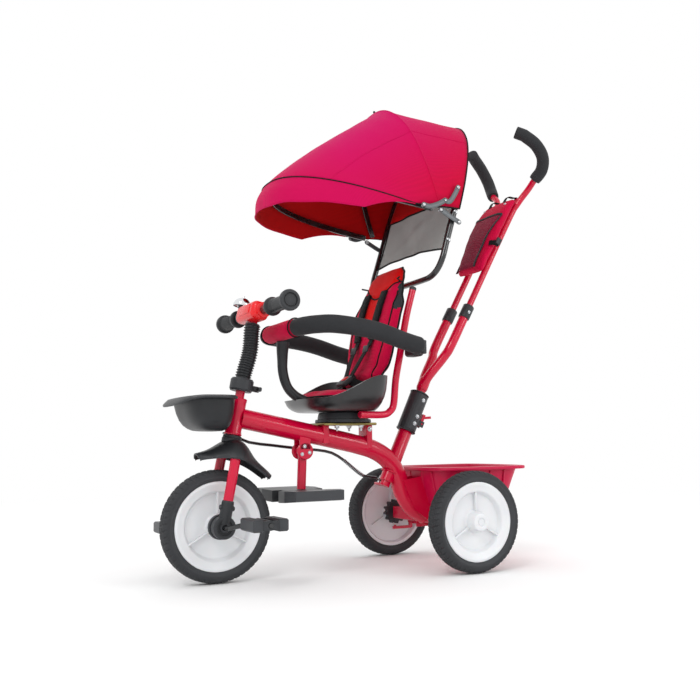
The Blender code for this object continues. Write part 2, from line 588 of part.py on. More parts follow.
# ---- footrest ----
fy, fz = FOOT_PIVOT
eye = rod((-0.0118, fy, fz), (0.0118, fy, fz), 0.0125, 24)
eye = union(eye, rod((0, fy, fz - 0.005), (0, fy - 0.003, fz - 0.0830), 0.0100, 20))
eye = cut(eye, rod((-0.02, fy, fz), (0.02, fy, fz), 0.0044, 16))
finish(eye, "footrest_tube", PAINT, foot)
PLATE_Z = fz - 0.0970
plate = box((0.046, FOOT_LEN * 0.62, 0.026), (0, fy - 0.004, PLATE_Z), bevel=0.004)
wings = []
for s in (1, -1):
    rings = []
    for x, y0, y1, z0, z1 in ((0.018, -0.060, 0.060, -0.0125, 0.0125),
                              (FOOT_HALF * 0.6, -0.066, 0.064, -0.010, 0.0145),
                              (FOOT_HALF, -0.058, 0.052, -0.006, 0.0150)):
        k = FOOT_LEN / 0.130
        rings.append([(s * x, fy - 0.004 + y0 * k, PLATE_Z + z0),
                      (s * x, fy - 0.004 + y1 * k, PLATE_Z + z0),
                      (s * x, fy - 0.004 + y1 * k, PLATE_Z + z1),
                      (s * x, fy - 0.004 + y0 * k, PLATE_Z + z1)])
    wings.append(loft(rings))
plate = union(plate, *wings)
plate = cut(plate, rod((0, fy, fz - 0.005), (0, fy - 0.0034, fz - 0.0925), 0.0104, 20))
finish(plate, "footrest_plate", PLASTIC, foot)

# ---- seat ----
L_X = 0.084
TUBE_Z = SEAT_BASE - GAP - HANDLE_R
l_path = [(0, SEAT_Y, 0), (0, -0.166, 0), (0, -0.147, 0.007), (0, -0.1365, 0.024),
          (0, -0.1300, 0.080), (0, -0.1170, 0.140), (0, -0.1000, 0.222), (0, -0.0800, 0.2920)]
seat_frame = turned([(0, TUBE_Z + HANDLE_R - 0.0010), (0.055, TUBE_Z + HANDLE_R - 0.0010),
                     (0.058, SWIVEL_Z + 0.010), (0.058, SWIVEL_Z + 0.007 + GAP),
                     (0, SWIVEL_Z + 0.007 + GAP)], (0, SEAT_Y, 0), (0, 0, 1), 24)
more = [rod((-L_X - 0.002, SEAT_Y + 0.015, TUBE_Z), (L_X + 0.002, SEAT_Y + 0.015, TUBE_Z), 0.0065, 12)]
for s in (1, -1):
    pts = [(s * L_X, p[1], TUBE_Z + p[2]) for p in l_path]
    more.append(tube(smooth_path(pts, 2), HANDLE_R, 2))
seat_frame = union(seat_frame, *more)
finish(seat_frame, "seat_frame", PAINT, seat)

FRONT_Y = -0.339
mid_y = FRONT_Y + SEAT_LEN / 2
shell_rings = [(SEAT_HALF - 0.040, SEAT_LEN / 2 - 0.024, mid_y + 0.004, SEAT_BASE, 0.0),
               (SEAT_HALF - 0.022, SEAT_LEN / 2 - 0.012, mid_y + 0.002, SEAT_BASE + 0.004, 0.04),
               (SEAT_HALF - 0.006, SEAT_LEN / 2 - 0.005, mid_y, SEAT_BASE + 0.024, 0.14),
               (SEAT_HALF, SEAT_LEN / 2, mid_y, SEAT_BASE + 0.044, 0.29)]
rings = []
for hx, hy, cy, z, slope in shell_rings:
    rings.append([(x, cy + y, z + slope * y + (0.010 if z > SEAT_BASE + 0.03 and abs(y) < 0.06 else 0))
                  for x, y in rounded(hx, hy, 28, 4)])
for hx, hy, cy, z, slope in reversed(shell_rings):
    z = max(z, SEAT_BASE + 0.004)
    rings.append([(x, cy + y, z + slope * y + (0.010 if z > SEAT_BASE + 0.03 and abs(y) < 0.06 else 0)
                   + (0.0035 if z < SEAT_BASE + 0.03 else 0))
                  for x, y in rounded(hx - 0.0035, hy - 0.0035, 28, 4)])
finish(loft(rings), "seat_shell", PLASTIC, seat)
pad_rings = []
for grow, z, slope in ((-0.040, 0.0100, 0.02), (-0.026, 0.0160, 0.05), (-0.020, 0.0290, 0.11),
                       (-0.036, 0.0370, 0.12)):
    pad_rings.append([(x, mid_y + 0.004 + y, SEAT_BASE + z + slope * y)
                      for x, y in rounded(SEAT_HALF - 0.006 + grow, SEAT_LEN / 2 + grow, 24, 4)])
finish(loft(pad_rings), "seat_pad", CLOTH_MAT, seat)


def back_line(z):
    """y of the backrest's rear face at height z."""
    pts = [(0.425, -0.1430), (0.50, -0.1310), (0.57, -0.1150), (0.64, -0.0930), (0.71, -0.0660)]
    for (z0, y0), (z1, y1) in zip(pts, pts[1:]):
        if z <= z1:
            return y0 + (y1 - y0) * (z - z0) / (z1 - z0)
    return pts[-1][1]


BACK_T = 0.034
rings = []
SPAN = BACK_TOP - 0.4400
for f, half in ((0, 0.090), (0.03, 0.100), (0.25, 0.110), (0.50, 0.117), (0.64, 0.118), (0.76, 0.100),
                (0.88, 0.086), (0.97, 0.078), (1.0, 0.066)):
    z = 0.4400 + SPAN * f
    t = BACK_T if 0 < f < 1 else BACK_T * 0.5
    y = back_line(z)
    edge = (BACK_T - t) / 2
    xs = [half, half * 0.80, half * 0.4, 0, -half * 0.4, -half * 0.80, -half]
    fr = [(x, y - edge - (0.35 * t if abs(x) == half else 0.0)) for x in xs]
    bk = [(x, y - edge - t + (0.25 * t if abs(x) == half else 0.0)) for x in reversed(xs)]
    rings.append([(x, yy, z) for x, yy in fr + bk])
finish(loft(rings), "backrest_pad", CLOTH_MAT, seat)


def ribbon(points, half, thick):
    """A flat strap across X along points of (x, y, z), thick in y and z."""
    rings_ = []
    for i, p in enumerate(points):
        a = Vector(points[max(i - 1, 0)])
        b = Vector(points[min(i + 1, len(points) - 1)])
        t = (b - a).normalized()
        side = Vector((1, 0, 0))
        side = (side - t * side.dot(t)).normalized()
        nrm = t.cross(side) * thick / 2
        p = Vector(p)
        rings_.append([p + side * half + nrm, p - side * half + nrm, p - side * half - nrm,
                       p + side * half - nrm])
    return loft(rings_)


def on_back(x, z, off=0.0028):
    return (x, back_line(z) - BACK_T - off, z)


straps = [ribbon([on_back(s * x, z) for x, z in ((0.034, 0.640), (0.032, 0.58), (0.026, 0.53), (0.012, 0.490))],
                 0.0095, 0.0022) for s in (1, -1)]
buckle = box((0.044, 0.014, 0.036), (0, back_line(0.482) - BACK_T - 0.0090, 0.4820), (-0.16, 0, 0),
             bevel=0.004)
lap = box((0.150, 0.0022, 0.020), (0, back_line(0.476) - BACK_T - 0.0045, 0.4760), (-0.16, 0, 0))
crotch = ribbon([(0, back_line(0.47) - BACK_T - 0.0060, 0.474), (0, back_line(0.44) - BACK_T - 0.0120, 0.445),
                 (0, -0.199, 0.4160), (0, -0.212, 0.4010)], 0.0095, 0.0022)
finish(union(buckle, lap, crotch, *straps), "harness", PLASTIC, seat)

# Canopy hoop: one closed loop, crosswise behind the backrest and arched over the top
HP = Matrix.Translation((0, *HOOP_PIVOT)) @ Matrix.Rotation(-math.radians(HOOP_TILT), 4, 'X')


def arch(half, reach, power, n, low=0.0):
    """Points of a superellipse arch from +half to -half: (x, height)."""
    out = []
    for i in range(n + 1):
        a = math.pi * (low + (1 - 2 * low) * i / n)
        c, s = math.cos(a), math.sin(a)
        out.append((half * math.copysign(abs(c) ** (2 / power), c), reach * abs(s) ** (2 / power)))
    return out


POWER = 2.6
over = arch(HOOP_HALF, HOOP_REACH, POWER, 20)
under = [(-HOOP_HALF, -0.060), (-HOOP_HALF, -0.095), (-HOOP_HALF + 0.010, -0.122),
         (-HOOP_HALF + 0.034, -0.137), (-0.090, -0.140), (0, -0.140)]
loop = over + under + [(-x, h) for x, h in reversed(under[:-1])]
hoop = tube([(x, 0, h) for x, h in loop], HOOP_R, 2, HP, cyclic=True)
finish(hoop, "canopy_hoop", BLACK_PAINT, seat)


def panel(outline, thick, frame_):
    rings_ = [[(x, d, h) for x, h in outline] for d in (-thick / 2, thick / 2)]
    return loft(rings_, frame_)


SPLIT = 0.064
inside = [(x, h) for x, h in arch(HOOP_HALF - HOOP_R - 0.0015, HOOP_REACH - HOOP_R - 0.0015, POWER, 18)
          if h > SPLIT + 0.004]
w_split = HOOP_HALF - HOOP_R - 0.0022
top = [(w_split, SPLIT)] + inside + [(-w_split, SPLIT)]
finish(panel(top, 0.0020, HP), "canopy_back", CLOTH_MAT, seat)
low_h = -0.064
mesh_outline = [(w_split, SPLIT - 0.0006), (-w_split, SPLIT - 0.0006), (-w_split, low_h), (w_split, low_h)]
finish(panel(mesh_outline, 0.0020, HP), "canopy_mesh", GREY_CLOTH, seat)


def bow_points(base, apex, half, power, n, low=0.0):
    b, a = Vector((0, *base)), Vector((0, *apex))
    d = a - b
    return [b + Vector((x, 0, 0)) + d * h for x, h in arch(half, 1.0, power, n, low)]


# Canopy cloth: sections from the hoop over the middle bow to the seam of the visor
sections = [((-0.009, 0.803), (0.0640, 1.0600), 2.6), ((-0.032, 0.803), (-0.032, 1.0680), 2.6),
            ((-0.055, 0.803), (-0.134, 1.0620), 2.6), ((-0.073, 0.805), (-0.222, 1.0140), 2.5),
            ((-0.090, 0.807), (-0.308, 0.9540), 2.5), ((-0.105, 0.808), (-0.368, 0.9020), 2.4),
            ((-0.116, 0.809), (-0.403, 0.8660), 2.4)]
visor_sections = [((-0.1172, 0.8085), (-0.4044, 0.8640), 2.4), ((-0.133, 0.800), (-0.446, 0.8330), 2.4),
                  ((-0.150, 0.789), (-0.4880, 0.7910), 2.4)]


def sheet(rows, thick):
    """Close a grid of rows into a thin solid, its thickness towards the inside."""
    me = bpy.data.meshes.new("sheet")
    n = len(rows[0])
    faces = [(i * n + j, i * n + j + 1, (i + 1) * n + j + 1, (i + 1) * n + j)
             for i in range(len(rows) - 1) for j in range(n - 1)]
    me.from_pydata([tuple(p) for row in rows for p in row], [], faces)
    ob = bpy.data.objects.new("sheet", me)
    bpy.context.scene.collection.objects.link(ob)
    mod = ob.modifiers.new("wall", 'SOLIDIFY')
    mod.thickness = thick
    mod.offset = -1
    bpy.context.view_layer.update()
    return bake(ob)


rows = [bow_points(b, a, CANOPY_HALF, p, 20, 0.004) for b, a, p in sections]
finish(sheet(rows, CLOTH), "canopy_cloth", CLOTH_MAT, seat)
rows = [bow_points(b, a, CANOPY_HALF + 0.001 * k, p, 20, 0.004) for k, (b, a, p) in enumerate(visor_sections)]
finish(sheet(rows, CLOTH), "canopy_visor", CLOTH_MAT, fold_front)
front_bow = tube(bow_points((-0.069, 0.8075), (-0.3840, 0.8480), HOOP_HALF - 0.002, 2.4, 20, 0.002), 0.0048, 2)
finish(front_bow, "canopy_bow_front", BLACK_PAINT, fold_front)
mid_bow = tube(bow_points((-0.050, 0.8080), (-0.1300, 1.0480), HOOP_HALF - 0.002, 2.6, 20, 0.002), 0.0048, 2)
finish(mid_bow, "canopy_bow_middle", BLACK_PAINT, fold_mid)

# ---- guard ----
post_path = [(0, -0.3300, 0.3935), (0, -0.3440, 0.3960), (0, -0.3620, 0.4130), (0, -0.3700, 0.4460),
             (0, -0.3700, 0.4780), (0, -0.3690, 0.5040)]
post = tube(smooth_path(post_path, 2), 0.0110, 2)
finish(post, "guard_post", PLASTIC, seat)
COVER_HALF = 0.078
ring_mid = [(0, -0.3765, RING_Z - 0.002), (0.045, -0.3745, RING_Z - 0.001), (COVER_HALF, -0.3690, RING_Z)]
cover = tube([mirror_x(p) for p in reversed(ring_mid[1:])] + ring_mid, 0.0235, 3)
finish(cover, "guard_cover", CLOTH_MAT, seat)
for s, n in ((1, "left"), (-1, "right")):
    pts = [(COVER_HALF + 0.0012, -0.3688, RING_Z), (0.089, -0.3672, RING_Z), (0.106, -0.3610, RING_Z + 0.001), (0.127, -0.3420, RING_Z + 0.001),
           (0.147, -0.3100, RING_Z), (0.157, -0.2600, RING_Z - 0.004), (0.162, -0.2100, RING_Z - 0.012),
           (0.162, -0.1550, RING_Z - 0.028), (0.159, -0.1180, RING_Z - 0.0370)]
    arm = tube([(s * p[0], *p[1:]) for p in pts], RING_R, 3)
    finish(arm, f"guard_arm_{n}", FOAM, arms[s])
for s, n in ((1, "left"), (-1, "right")):
    hx, hy, hz = ARM_HINGE
    root = box((hx - 0.0260 - 0.0925, 0.040, 0.0560), (s * (hx - 0.0260 + 0.0925) / 2, hy + 0.0010, hz))
    ears = []
    for up in (1, -1):
        ears.append(box((0.048, 0.020, 0.0034), (s * (hx - 0.0220), hy - 0.001, hz + up * 0.0247)))
    finish(union(root, *ears), f"guard_bracket_{n}", PLASTIC, seat)

# ---- push bar, handle and steering rod ----
uy, uz = FERRULE
start = PUSH @ Vector((0, 0, -0.0125))
junction = PUSH @ Vector((0, 0, 0.266))
lower = tube([start, junction], PUSH_R, 4)
bore_low = 0.095
more = [rod((0, 0, 0.238), (0, 0, 0.264), PUSH_R + 0.0025, 20, PUSH)]
for s in (1, -1):
    foot_pt = Vector((s * HANDLE_X, uy, uz)) - SLIDE_DIR * 0.105
    pts = [junction - Vector((-s * 0.0021, 0.0093, 0.0171)), junction + Vector((s * 0.012, 0.005, 0.009)),
           foot_pt + Vector((-s * 0.008, -0.013, -0.024)), foot_pt, Vector((s * HANDLE_X, uy, uz))]
    more.append(tube(pts, 0.0112, 3))
    more.append(rod(Vector((s * HANDLE_X, uy, uz)) - SLIDE_DIR * 0.028,
                    Vector((s * HANDLE_X, uy, uz)) + SLIDE_DIR * 0.006, 0.0140, 20))
more.append(box((STEER_ARM + 0.006, 0.014, 0.0045), (-(STEER_ARM + 0.006) / 2, 0, -0.0085), frame=PUSH))
more.append(rod((-STEER_ARM, 0, -0.0095), (-STEER_ARM, 0, 0.0120), 0.0030, 12, PUSH))
lower = union(lower, *more)
bores = []
for s in (1, -1):
    top = Vector((s * HANDLE_X, uy, uz)) + SLIDE_DIR * 0.02
    bores.append(rod(top, top - SLIDE_DIR * (bore_low + 0.02), HANDLE_R + BORE_GAP, 20))
lower = cut(lower, *bores)
finish(lower, "push_bar", PAINT, push)

eye_f = STEER @ Vector((-STEER_ARM, 0, HEAD_LOW + 0.003))
eye_r = PUSH @ Vector((-STEER_ARM, 0, 0.0030))
mid = [(-STEER_ARM, 0.0840 - WHEELBASE, 0.2890), (-STEER_ARM, 0.1390 - WHEELBASE, 0.2815), (-STEER_ARM, -0.3250, 0.2745),
       (-STEER_ARM, -0.2700, 0.2690), (-STEER_ARM, -0.2350, 0.2620), (-STEER_ARM, -0.2050, 0.2450),
       (-STEER_ARM, -0.1800, 0.2250), (-STEER_ARM, -0.1560, 0.2080)]
edge_f = eye_f + STEER.to_3x3() @ Vector((0, 0.0095, 0))
edge_r = eye_r + PUSH.to_3x3() @ Vector((0, -0.0095, 0))
steer_rod = tube(smooth_path([edge_f, *mid, edge_r], 2), 0.0034, 2)
EYE_HOLE = 0.0075
for at, m in ((eye_f, STEER), (eye_r, PUSH)):
    d = m.to_3x3() @ Vector((0, 0, 1))
    hole = 0.0037 if m is STEER else EYE_HOLE
    steer_rod = union(steer_rod, rod(at - d * 0.0018, at + d * 0.0018, 0.0112, 20))
    steer_rod = cut(steer_rod, rod(at - d * 0.0150, at + d * 0.0150, hole, 20))
finish(steer_rod, "steering_rod", BLACK_PAINT, link)

ty, tz = HANDLE_TOP
top_in = Vector((0, uy, uz)) - SLIDE_DIR * 0.040
handle = None
more = []
for s in (1, -1):
    base_pt = Vector((s * HANDLE_X, top_in.y, top_in.z))
    bend = Vector((s * HANDLE_X, uy, uz)) + SLIDE_DIR * 0.265
    pts = [base_pt, bend, Vector((s * 0.046, ty - 0.019, tz - 0.034)), Vector((s * 0.066, ty, tz))]
    horn = [(s * 0.066, ty, tz), (s * 0.088, ty + 0.004, tz + 0.020), (s * 0.108, ty + 0.012, tz + 0.042),
            (s * HORN_OUT, ty + 0.008, tz + 0.072), (s * 0.117, ty - 0.012, tz + 0.102),
            (s * 0.108, ty - 0.040, tz + 0.124)]
    more.append(tube(pts + smooth_path(horn, 1)[1:], HANDLE_R, 2))
    grip_pts = smooth_path(horn, 2)[2:]
    outer = tube(grip_pts + [Vector((s * 0.0965, ty - 0.058, tz + 0.133))], HORN_R, 2)
    slot = tube(smooth_path([horn[0]] + horn[1:], 1) + [Vector((s * 0.1070, ty - 0.0420, tz + 0.1250))],
                HANDLE_R + 0.0012, 2)
    finish(cut(outer, slot), f"horn_grip_{'left' if s == 1 else 'right'}", FOAM, slide)
more.append(rod((-0.052, ty - 0.014, tz - 0.025), (0.052, ty - 0.014, tz - 0.025), HANDLE_R * 0.9, 16))
handle = union(*more)
finish(handle, "handle_tubes", PAINT, slide)

# Bag: a flat satchel in front of the handle tubes
BAG_T = 0.030
nrm = Vector((0, -SLIDE_DIR.z, SLIDE_DIR.y))
rings = []
for d, half, t in ((0.100, 0.052, 0.012), (0.108, 0.060, 0.024), (0.160, 0.064, BAG_T), (0.230, 0.064, BAG_T),
                   (0.300, 0.063, 0.022), (0.322, 0.060, 0.012)):
    at = Vector((0, uy, uz)) + SLIDE_DIR * d + nrm * (HANDLE_R + 0.0015)
    ring = [(half, 0), (0, 0), (-half, 0), (-half, t * 0.7), (-half * 0.7, t), (0, t), (half * 0.7, t),
            (half, t * 0.7)]
    rings.append([at + Vector((x, 0, 0)) + nrm * e for x, e in ring])
finish(loft(rings), "handle_bag", CLOTH_MAT, slide)
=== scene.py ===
import math

import bmesh
import bpy
from mathutils import Matrix, Vector, noise
from mathutils.bvhtree import BVHTree


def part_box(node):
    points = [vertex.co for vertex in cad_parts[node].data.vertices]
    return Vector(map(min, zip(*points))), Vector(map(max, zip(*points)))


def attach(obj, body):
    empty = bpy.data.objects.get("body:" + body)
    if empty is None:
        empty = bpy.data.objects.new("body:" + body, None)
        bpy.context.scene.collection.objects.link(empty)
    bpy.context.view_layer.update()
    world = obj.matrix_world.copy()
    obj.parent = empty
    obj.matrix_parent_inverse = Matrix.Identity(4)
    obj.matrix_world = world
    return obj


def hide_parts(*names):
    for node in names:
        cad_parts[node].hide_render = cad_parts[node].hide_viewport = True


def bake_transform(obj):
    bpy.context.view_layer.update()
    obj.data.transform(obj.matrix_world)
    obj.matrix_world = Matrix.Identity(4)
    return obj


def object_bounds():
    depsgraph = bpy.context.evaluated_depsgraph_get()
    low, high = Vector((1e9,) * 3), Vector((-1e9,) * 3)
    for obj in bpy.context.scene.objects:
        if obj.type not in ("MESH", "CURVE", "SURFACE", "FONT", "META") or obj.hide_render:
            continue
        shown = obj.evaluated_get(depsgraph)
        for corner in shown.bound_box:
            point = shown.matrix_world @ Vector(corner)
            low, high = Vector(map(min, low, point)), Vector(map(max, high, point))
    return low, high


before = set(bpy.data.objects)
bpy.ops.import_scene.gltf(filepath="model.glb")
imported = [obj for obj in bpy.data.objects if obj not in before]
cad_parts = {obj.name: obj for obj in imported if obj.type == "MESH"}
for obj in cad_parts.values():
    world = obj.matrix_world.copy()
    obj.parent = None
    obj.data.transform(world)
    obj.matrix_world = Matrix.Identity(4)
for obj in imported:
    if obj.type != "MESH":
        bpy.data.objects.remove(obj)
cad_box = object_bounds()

# Studio: a seamless pale sweep, a large soft box over the left shoulder, a strip to the right and
# a dim fill behind, as a shop sets up for a toy catalogue. The camera stands low, off the left front.
scene = bpy.context.scene


def linear(code):
    """An sRGB hex colour as a linear (r, g, b, 1)."""
    parts = [int(code[i:i + 2], 16) / 255 for i in (1, 3, 5)]
    return tuple(c / 12.92 if c <= 0.04045 else ((c + 0.055) / 1.055) ** 2.4 for c in parts) + (1.0,)


def node(tree, kind, values, **properties):
    """Add a node; values go to its inputs, each a plain value or another node's output."""
    made = tree.nodes.new("ShaderNode" + kind)
    for key, value in properties.items():
        setattr(made, key, value)
    for key, value in values.items():
        if isinstance(value, bpy.types.NodeSocket):
            tree.links.new(made.inputs[key], value)
        else:
            made.inputs[key].default_value = value
    return made


def surface(name, **sockets):
    """A new material with one Principled shader; the sockets are set on the shader itself."""
    mat = bpy.data.materials.new(name)
    mat.use_nodes = True
    tree = mat.node_tree
    shader = tree.nodes["Principled BSDF"]
    for key, value in sockets.items():
        shader.inputs[key.replace("_", " ")].default_value = value
    where = node(tree, "TexCoord", {}).outputs["Object"]
    return mat, tree, shader, where


# Matt white paper sweep: it scatters evenly and shows only a faint mottle.
paper, tree, shader, where = surface("paper_sweep", Roughness=0.9)
mottle = node(tree, "TexNoise", {"Vector": where, "Scale": 1.5, "Detail": 2.0})
shade = node(tree, "Mix", {0: mottle.outputs["Fac"], 6: linear("#F7F7F7"), 7: linear("#FCFCFC")},
             data_type="RGBA")
tree.links.new(shader.inputs["Base Color"], shade.outputs[2])
# far out the sweep glows like the lit wall behind it, so no horizon shows
reach = node(tree, "VectorMath", {0: where}, operation="LENGTH")
far = node(tree, "MapRange", {"Value": reach.outputs["Value"], "From Min": 1.1, "From Max": 3.2},
           interpolation_type="SMOOTHSTEP")
glow = node(tree, "Emission", {"Color": (1, 1, 1, 1), "Strength": 1.0})
both = node(tree, "MixShader", {0: far.outputs[0], 1: shader.outputs[0], 2: glow.outputs[0]})
tree.links.new(tree.nodes["Material Output"].inputs["Surface"], both.outputs[0])
floor_mesh = bpy.data.meshes.new("sweep")
floor_mesh.from_pydata([(-14, -14, 0), (14, -14, 0), (14, 14, 0), (-14, 14, 0)], [], [(0, 1, 2, 3)])
floor_mesh.materials.append(paper)
floor = bpy.data.objects.new("paper_sweep", floor_mesh)
floor.location.z = cad_box[0][2] - 0.0004
scene.collection.objects.link(floor)

world = bpy.data.worlds.new("studio_air")
world.use_nodes = True
world.node_tree.nodes["Background"].inputs["Color"].default_value = (1, 1, 1, 1)
world.node_tree.nodes["Background"].inputs["Strength"].default_value = 1.0
scene.world = world
scene.view_settings.view_transform = "Standard"
for name, place, aim, size, power in (
        ("soft_box", (1.9, -2.2, 2.6), (0, -0.1, 0.5), 1.2, 30),
        ("strip", (2.6, 1.6, 1.4), (0, 0.1, 0.6), 0.8, 12),
        ("fill", (-2.2, 0.6, 1.8), (0, 0, 0.5), 1.8, 4)):
    lamp = bpy.data.lights.new(name, "AREA")
    lamp.size, lamp.energy = size, power
    stand = bpy.data.objects.new(name, lamp)
    stand.location = place
    stand.rotation_euler = (Vector(place) - Vector(aim)).to_track_quat("Z", "Y").to_euler()
    scene.collection.objects.link(stand)

lens = bpy.data.cameras.new("camera")
lens.lens, lens.sensor_width = 44.69, 36.0
lens.shift_x, lens.shift_y = -0.0504, -0.0080
turn_to, tip, roll = math.radians(60.92), math.radians(-6.32), math.radians(-0.8705)
back = Vector((math.sin(turn_to) * math.cos(tip), -math.cos(turn_to) * math.cos(tip), math.sin(tip)))
right = (-back).cross(Vector((0, 0, 1))).normalized()
up = right.cross(-back)
right, up = (math.cos(roll) * right + math.sin(roll) * up, math.cos(roll) * up - math.sin(roll) * right)
camera = bpy.data.objects.new("camera", lens)
camera.matrix_world = Matrix.Translation((1.784, -0.9365, 0.288)) @ Matrix(
    (right, up, back)).transposed().to_4x4()
scene.collection.objects.link(camera)
scene.camera = camera

# Road wheels: one-piece foamed EVA tyres on dished white polypropylene discs with three ribs.
# The tread is moulded in, with wavy blocks across the crown and lugs on the shoulders.
AXLE_Y = (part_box("rear_axle")[0].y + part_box("rear_axle")[1].y) / 2
FRONT_R, REAR_R, TYRE_DEEP, TYRE_WIDE = 0.1167, 0.110, 0.024, 0.046
TRACK = 0.380
HUB = Vector((0, AXLE_Y - 0.519, FRONT_R))


def spot(x, y, z):
    """A point measured from the rear axle's middle on the ground."""
    return Vector((x, y + AXLE_Y, z))


def turn(bm, profile, at, direction, steps=64, mat=0):
    """Spin a profile of (radius, height) about a direction; it closes if its ends are the same."""
    quat = Vector(direction).to_track_quat("Z", "Y")
    closed = profile[0] == profile[-1]
    rows = []
    for r, h in profile[:-1] if closed else profile:
        if r < 1e-7:
            rows.append([bm.verts.new(Vector(at) + quat @ Vector((0, 0, h)))])
            continue
        rows.append([bm.verts.new(Vector(at) + quat @ Vector(
            (r * math.cos(2 * math.pi * k / steps), r * math.sin(2 * math.pi * k / steps), h)))
            for k in range(steps)])
    if closed:
        rows.append(rows[0])
    for a, b in zip(rows, rows[1:]):
        for k in range(steps):
            q = (k + 1) % steps
            corners = ([a[k], a[q]] if len(a) > 1 else [a[0]]) + ([b[q], b[k]] if len(b) > 1 else [b[0]])
            if len(corners) > 2:
                bm.faces.new(corners).material_index = mat


def block(bm, size, frame_of, bevel=0.001, segments=3, mat=0):
    """A box with rounded edges, placed by a matrix."""
    part = bmesh.new()
    bmesh.ops.create_cube(part, size=1, matrix=Matrix.Diagonal((*size, 1)))
    if bevel:
        bmesh.ops.bevel(part, geom=part.edges[:], offset=bevel, segments=segments, profile=0.5,
                        affect="EDGES")
    bmesh.ops.transform(part, matrix=frame_of, verts=part.verts)
    for f in part.faces:
        f.material_index = mat
    spare = bpy.data.meshes.new("part")
    part.to_mesh(spare)
    bm.from_mesh(spare)
    part.free()
    bpy.data.meshes.remove(spare)


def add(name, bm, mats, body, slot, *stands_for, sharp=38, fix=True):
    """Make the piece's object, hang it on its body, and let it stand for its CAD nodes."""
    if fix:
        bmesh.ops.recalc_face_normals(bm, faces=bm.faces)
    mesh = bpy.data.meshes.new(name)
    bm.to_mesh(mesh)
    bm.free()
    for mat in mats:
        mesh.materials.append(mat)
    mesh.shade_smooth()
    if sharp:
        mesh.set_sharp_from_angle(angle=math.radians(sharp))
    made = bpy.data.objects.new(name, mesh)
    scene.collection.objects.link(made)
    if body:
        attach(made, body)
    if stands_for:
        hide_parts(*stands_for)
    return made


# Foamed EVA: soft grey-black, dry sheen, with fine closed cells and a painted highlight that lightens its
# convex edges.
eva, tree, shader, where = surface("foamed_eva", Roughness=0.72, Specular_IOR_Level=0.3)
cells = node(tree, "TexVoronoi", {"Vector": where, "Scale": 900.0})
cloud = node(tree, "TexNoise", {"Vector": where, "Scale": 45.0, "Detail": 5.0})
tone = node(tree, "Mix", {0: cloud.outputs["Fac"], 6: linear("#232426"), 7: linear("#37383B")},
            data_type="RGBA")
# painted highlight: convex edges, found by pointiness, are mixed towards a lighter grey
edge = node(tree, "NewGeometry", {}).outputs["Pointiness"]
edge_highlight_mask = node(tree, "MapRange", {"Value": edge, "From Min": 0.50, "From Max": 0.60, "To Min": 0.0,
                              "To Max": 0.55})
edge_highlit_tone = node(tree, "Mix", {0: edge_highlight_mask.outputs[0], 6: tone.outputs[2], 7: linear("#56585B")}, data_type="RGBA")
tree.links.new(shader.inputs["Base Color"], edge_highlit_tone.outputs[2])
dull = node(tree, "MapRange", {"Value": cloud.outputs["Fac"], "To Min": 0.62, "To Max": 0.85})
tree.links.new(shader.inputs["Roughness"], dull.outputs[0])
bump = node(tree, "Bump", {"Strength": 0.25, "Distance": 0.0006, "Height": cells.outputs["Distance"]})
tree.links.new(shader.inputs["Normal"], bump.outputs[0])

# Injection-moulded polypropylene, white: satin, slightly uneven gloss, a trace of dust.
white_pp, tree, shader, where = surface("white_polypropylene", IOR=1.49, Subsurface_Weight=0.06,
                                        Subsurface_Scale=0.004)
cloud = node(tree, "TexNoise", {"Vector": where, "Scale": 22.0, "Detail": 4.0})
tone = node(tree, "Mix", {0: cloud.outputs["Fac"], 6: linear("#D6D8DB"), 7: linear("#E6E7E9")},
            data_type="RGBA")
tree.links.new(shader.inputs["Base Color"], tone.outputs[2])
dull = node(tree, "MapRange", {"Value": cloud.outputs["Fac"], "To Min": 0.26, "To Max": 0.42})
tree.links.new(shader.inputs["Roughness"], dull.outputs[0])
grain = node(tree, "TexNoise", {"Vector": where, "Scale": 700.0, "Detail": 2.0})
bump = node(tree, "Bump", {"Strength": 0.05, "Distance": 0.0004, "Height": grain.outputs["Fac"]})
tree.links.new(shader.inputs["Normal"], bump.outputs[0])


def tyre(name, at, side, radius, body, stands_for):
    bm = bmesh.new()
    inner, half, around = radius - TYRE_DEEP, TYRE_WIDE / 2, 396
    section = [(inner, half * 0.70)]
    for k in range(31):
        a = math.pi * (0.02 + 0.96 * k / 30)
        c, s = math.cos(a), math.sin(a)
        section.append((inner + 0.002 + (TYRE_DEEP - 0.0023) * s ** 0.5,
                        half * 0.985 * math.copysign(abs(c) ** 0.60, c)))
    section.append((inner, -half * 0.70))
    quat = Vector((side, 0, 0)).to_track_quat("Z", "Y")
    rows = []
    for k in range(around):
        a = 2 * math.pi * k / around
        arc = a / (2 * math.pi) * 54        # 54 blocks round the tyre
        wave = abs(arc % 1 - 0.5) * 2
        row = []
        for r, h in section:
            if r > radius - 0.0085:
                lane = abs(abs(h) - 0.0062 - 0.0022 * wave)
                cross = (arc + (0.5 if h > 0 else 0) + abs(h) * 26) % 1
                deep = 0.0015 if lane < 0.0013 or (cross < 0.24 and abs(h) > 0.0050) else 0
                if abs(h) < 0.004 and arc % 1 < 0.2:
                    deep = 0.0012
                if r < radius - 0.0045:
                    deep *= 0.6
                r -= deep
            row.append(bm.verts.new(Vector(at) + quat @ Vector((r * math.cos(a), r * math.sin(a), h))))
        rows.append(row)
    for k in range(around):
        a, b = rows[k], rows[(k + 1) % around]
        for j in range(len(section)):
            q = (j + 1) % len(section)
            bm.faces.new((a[j], a[q], b[q], b[j]))
    return add(name, bm, [eva], body, "tyre_foam", stands_for, sharp=28)


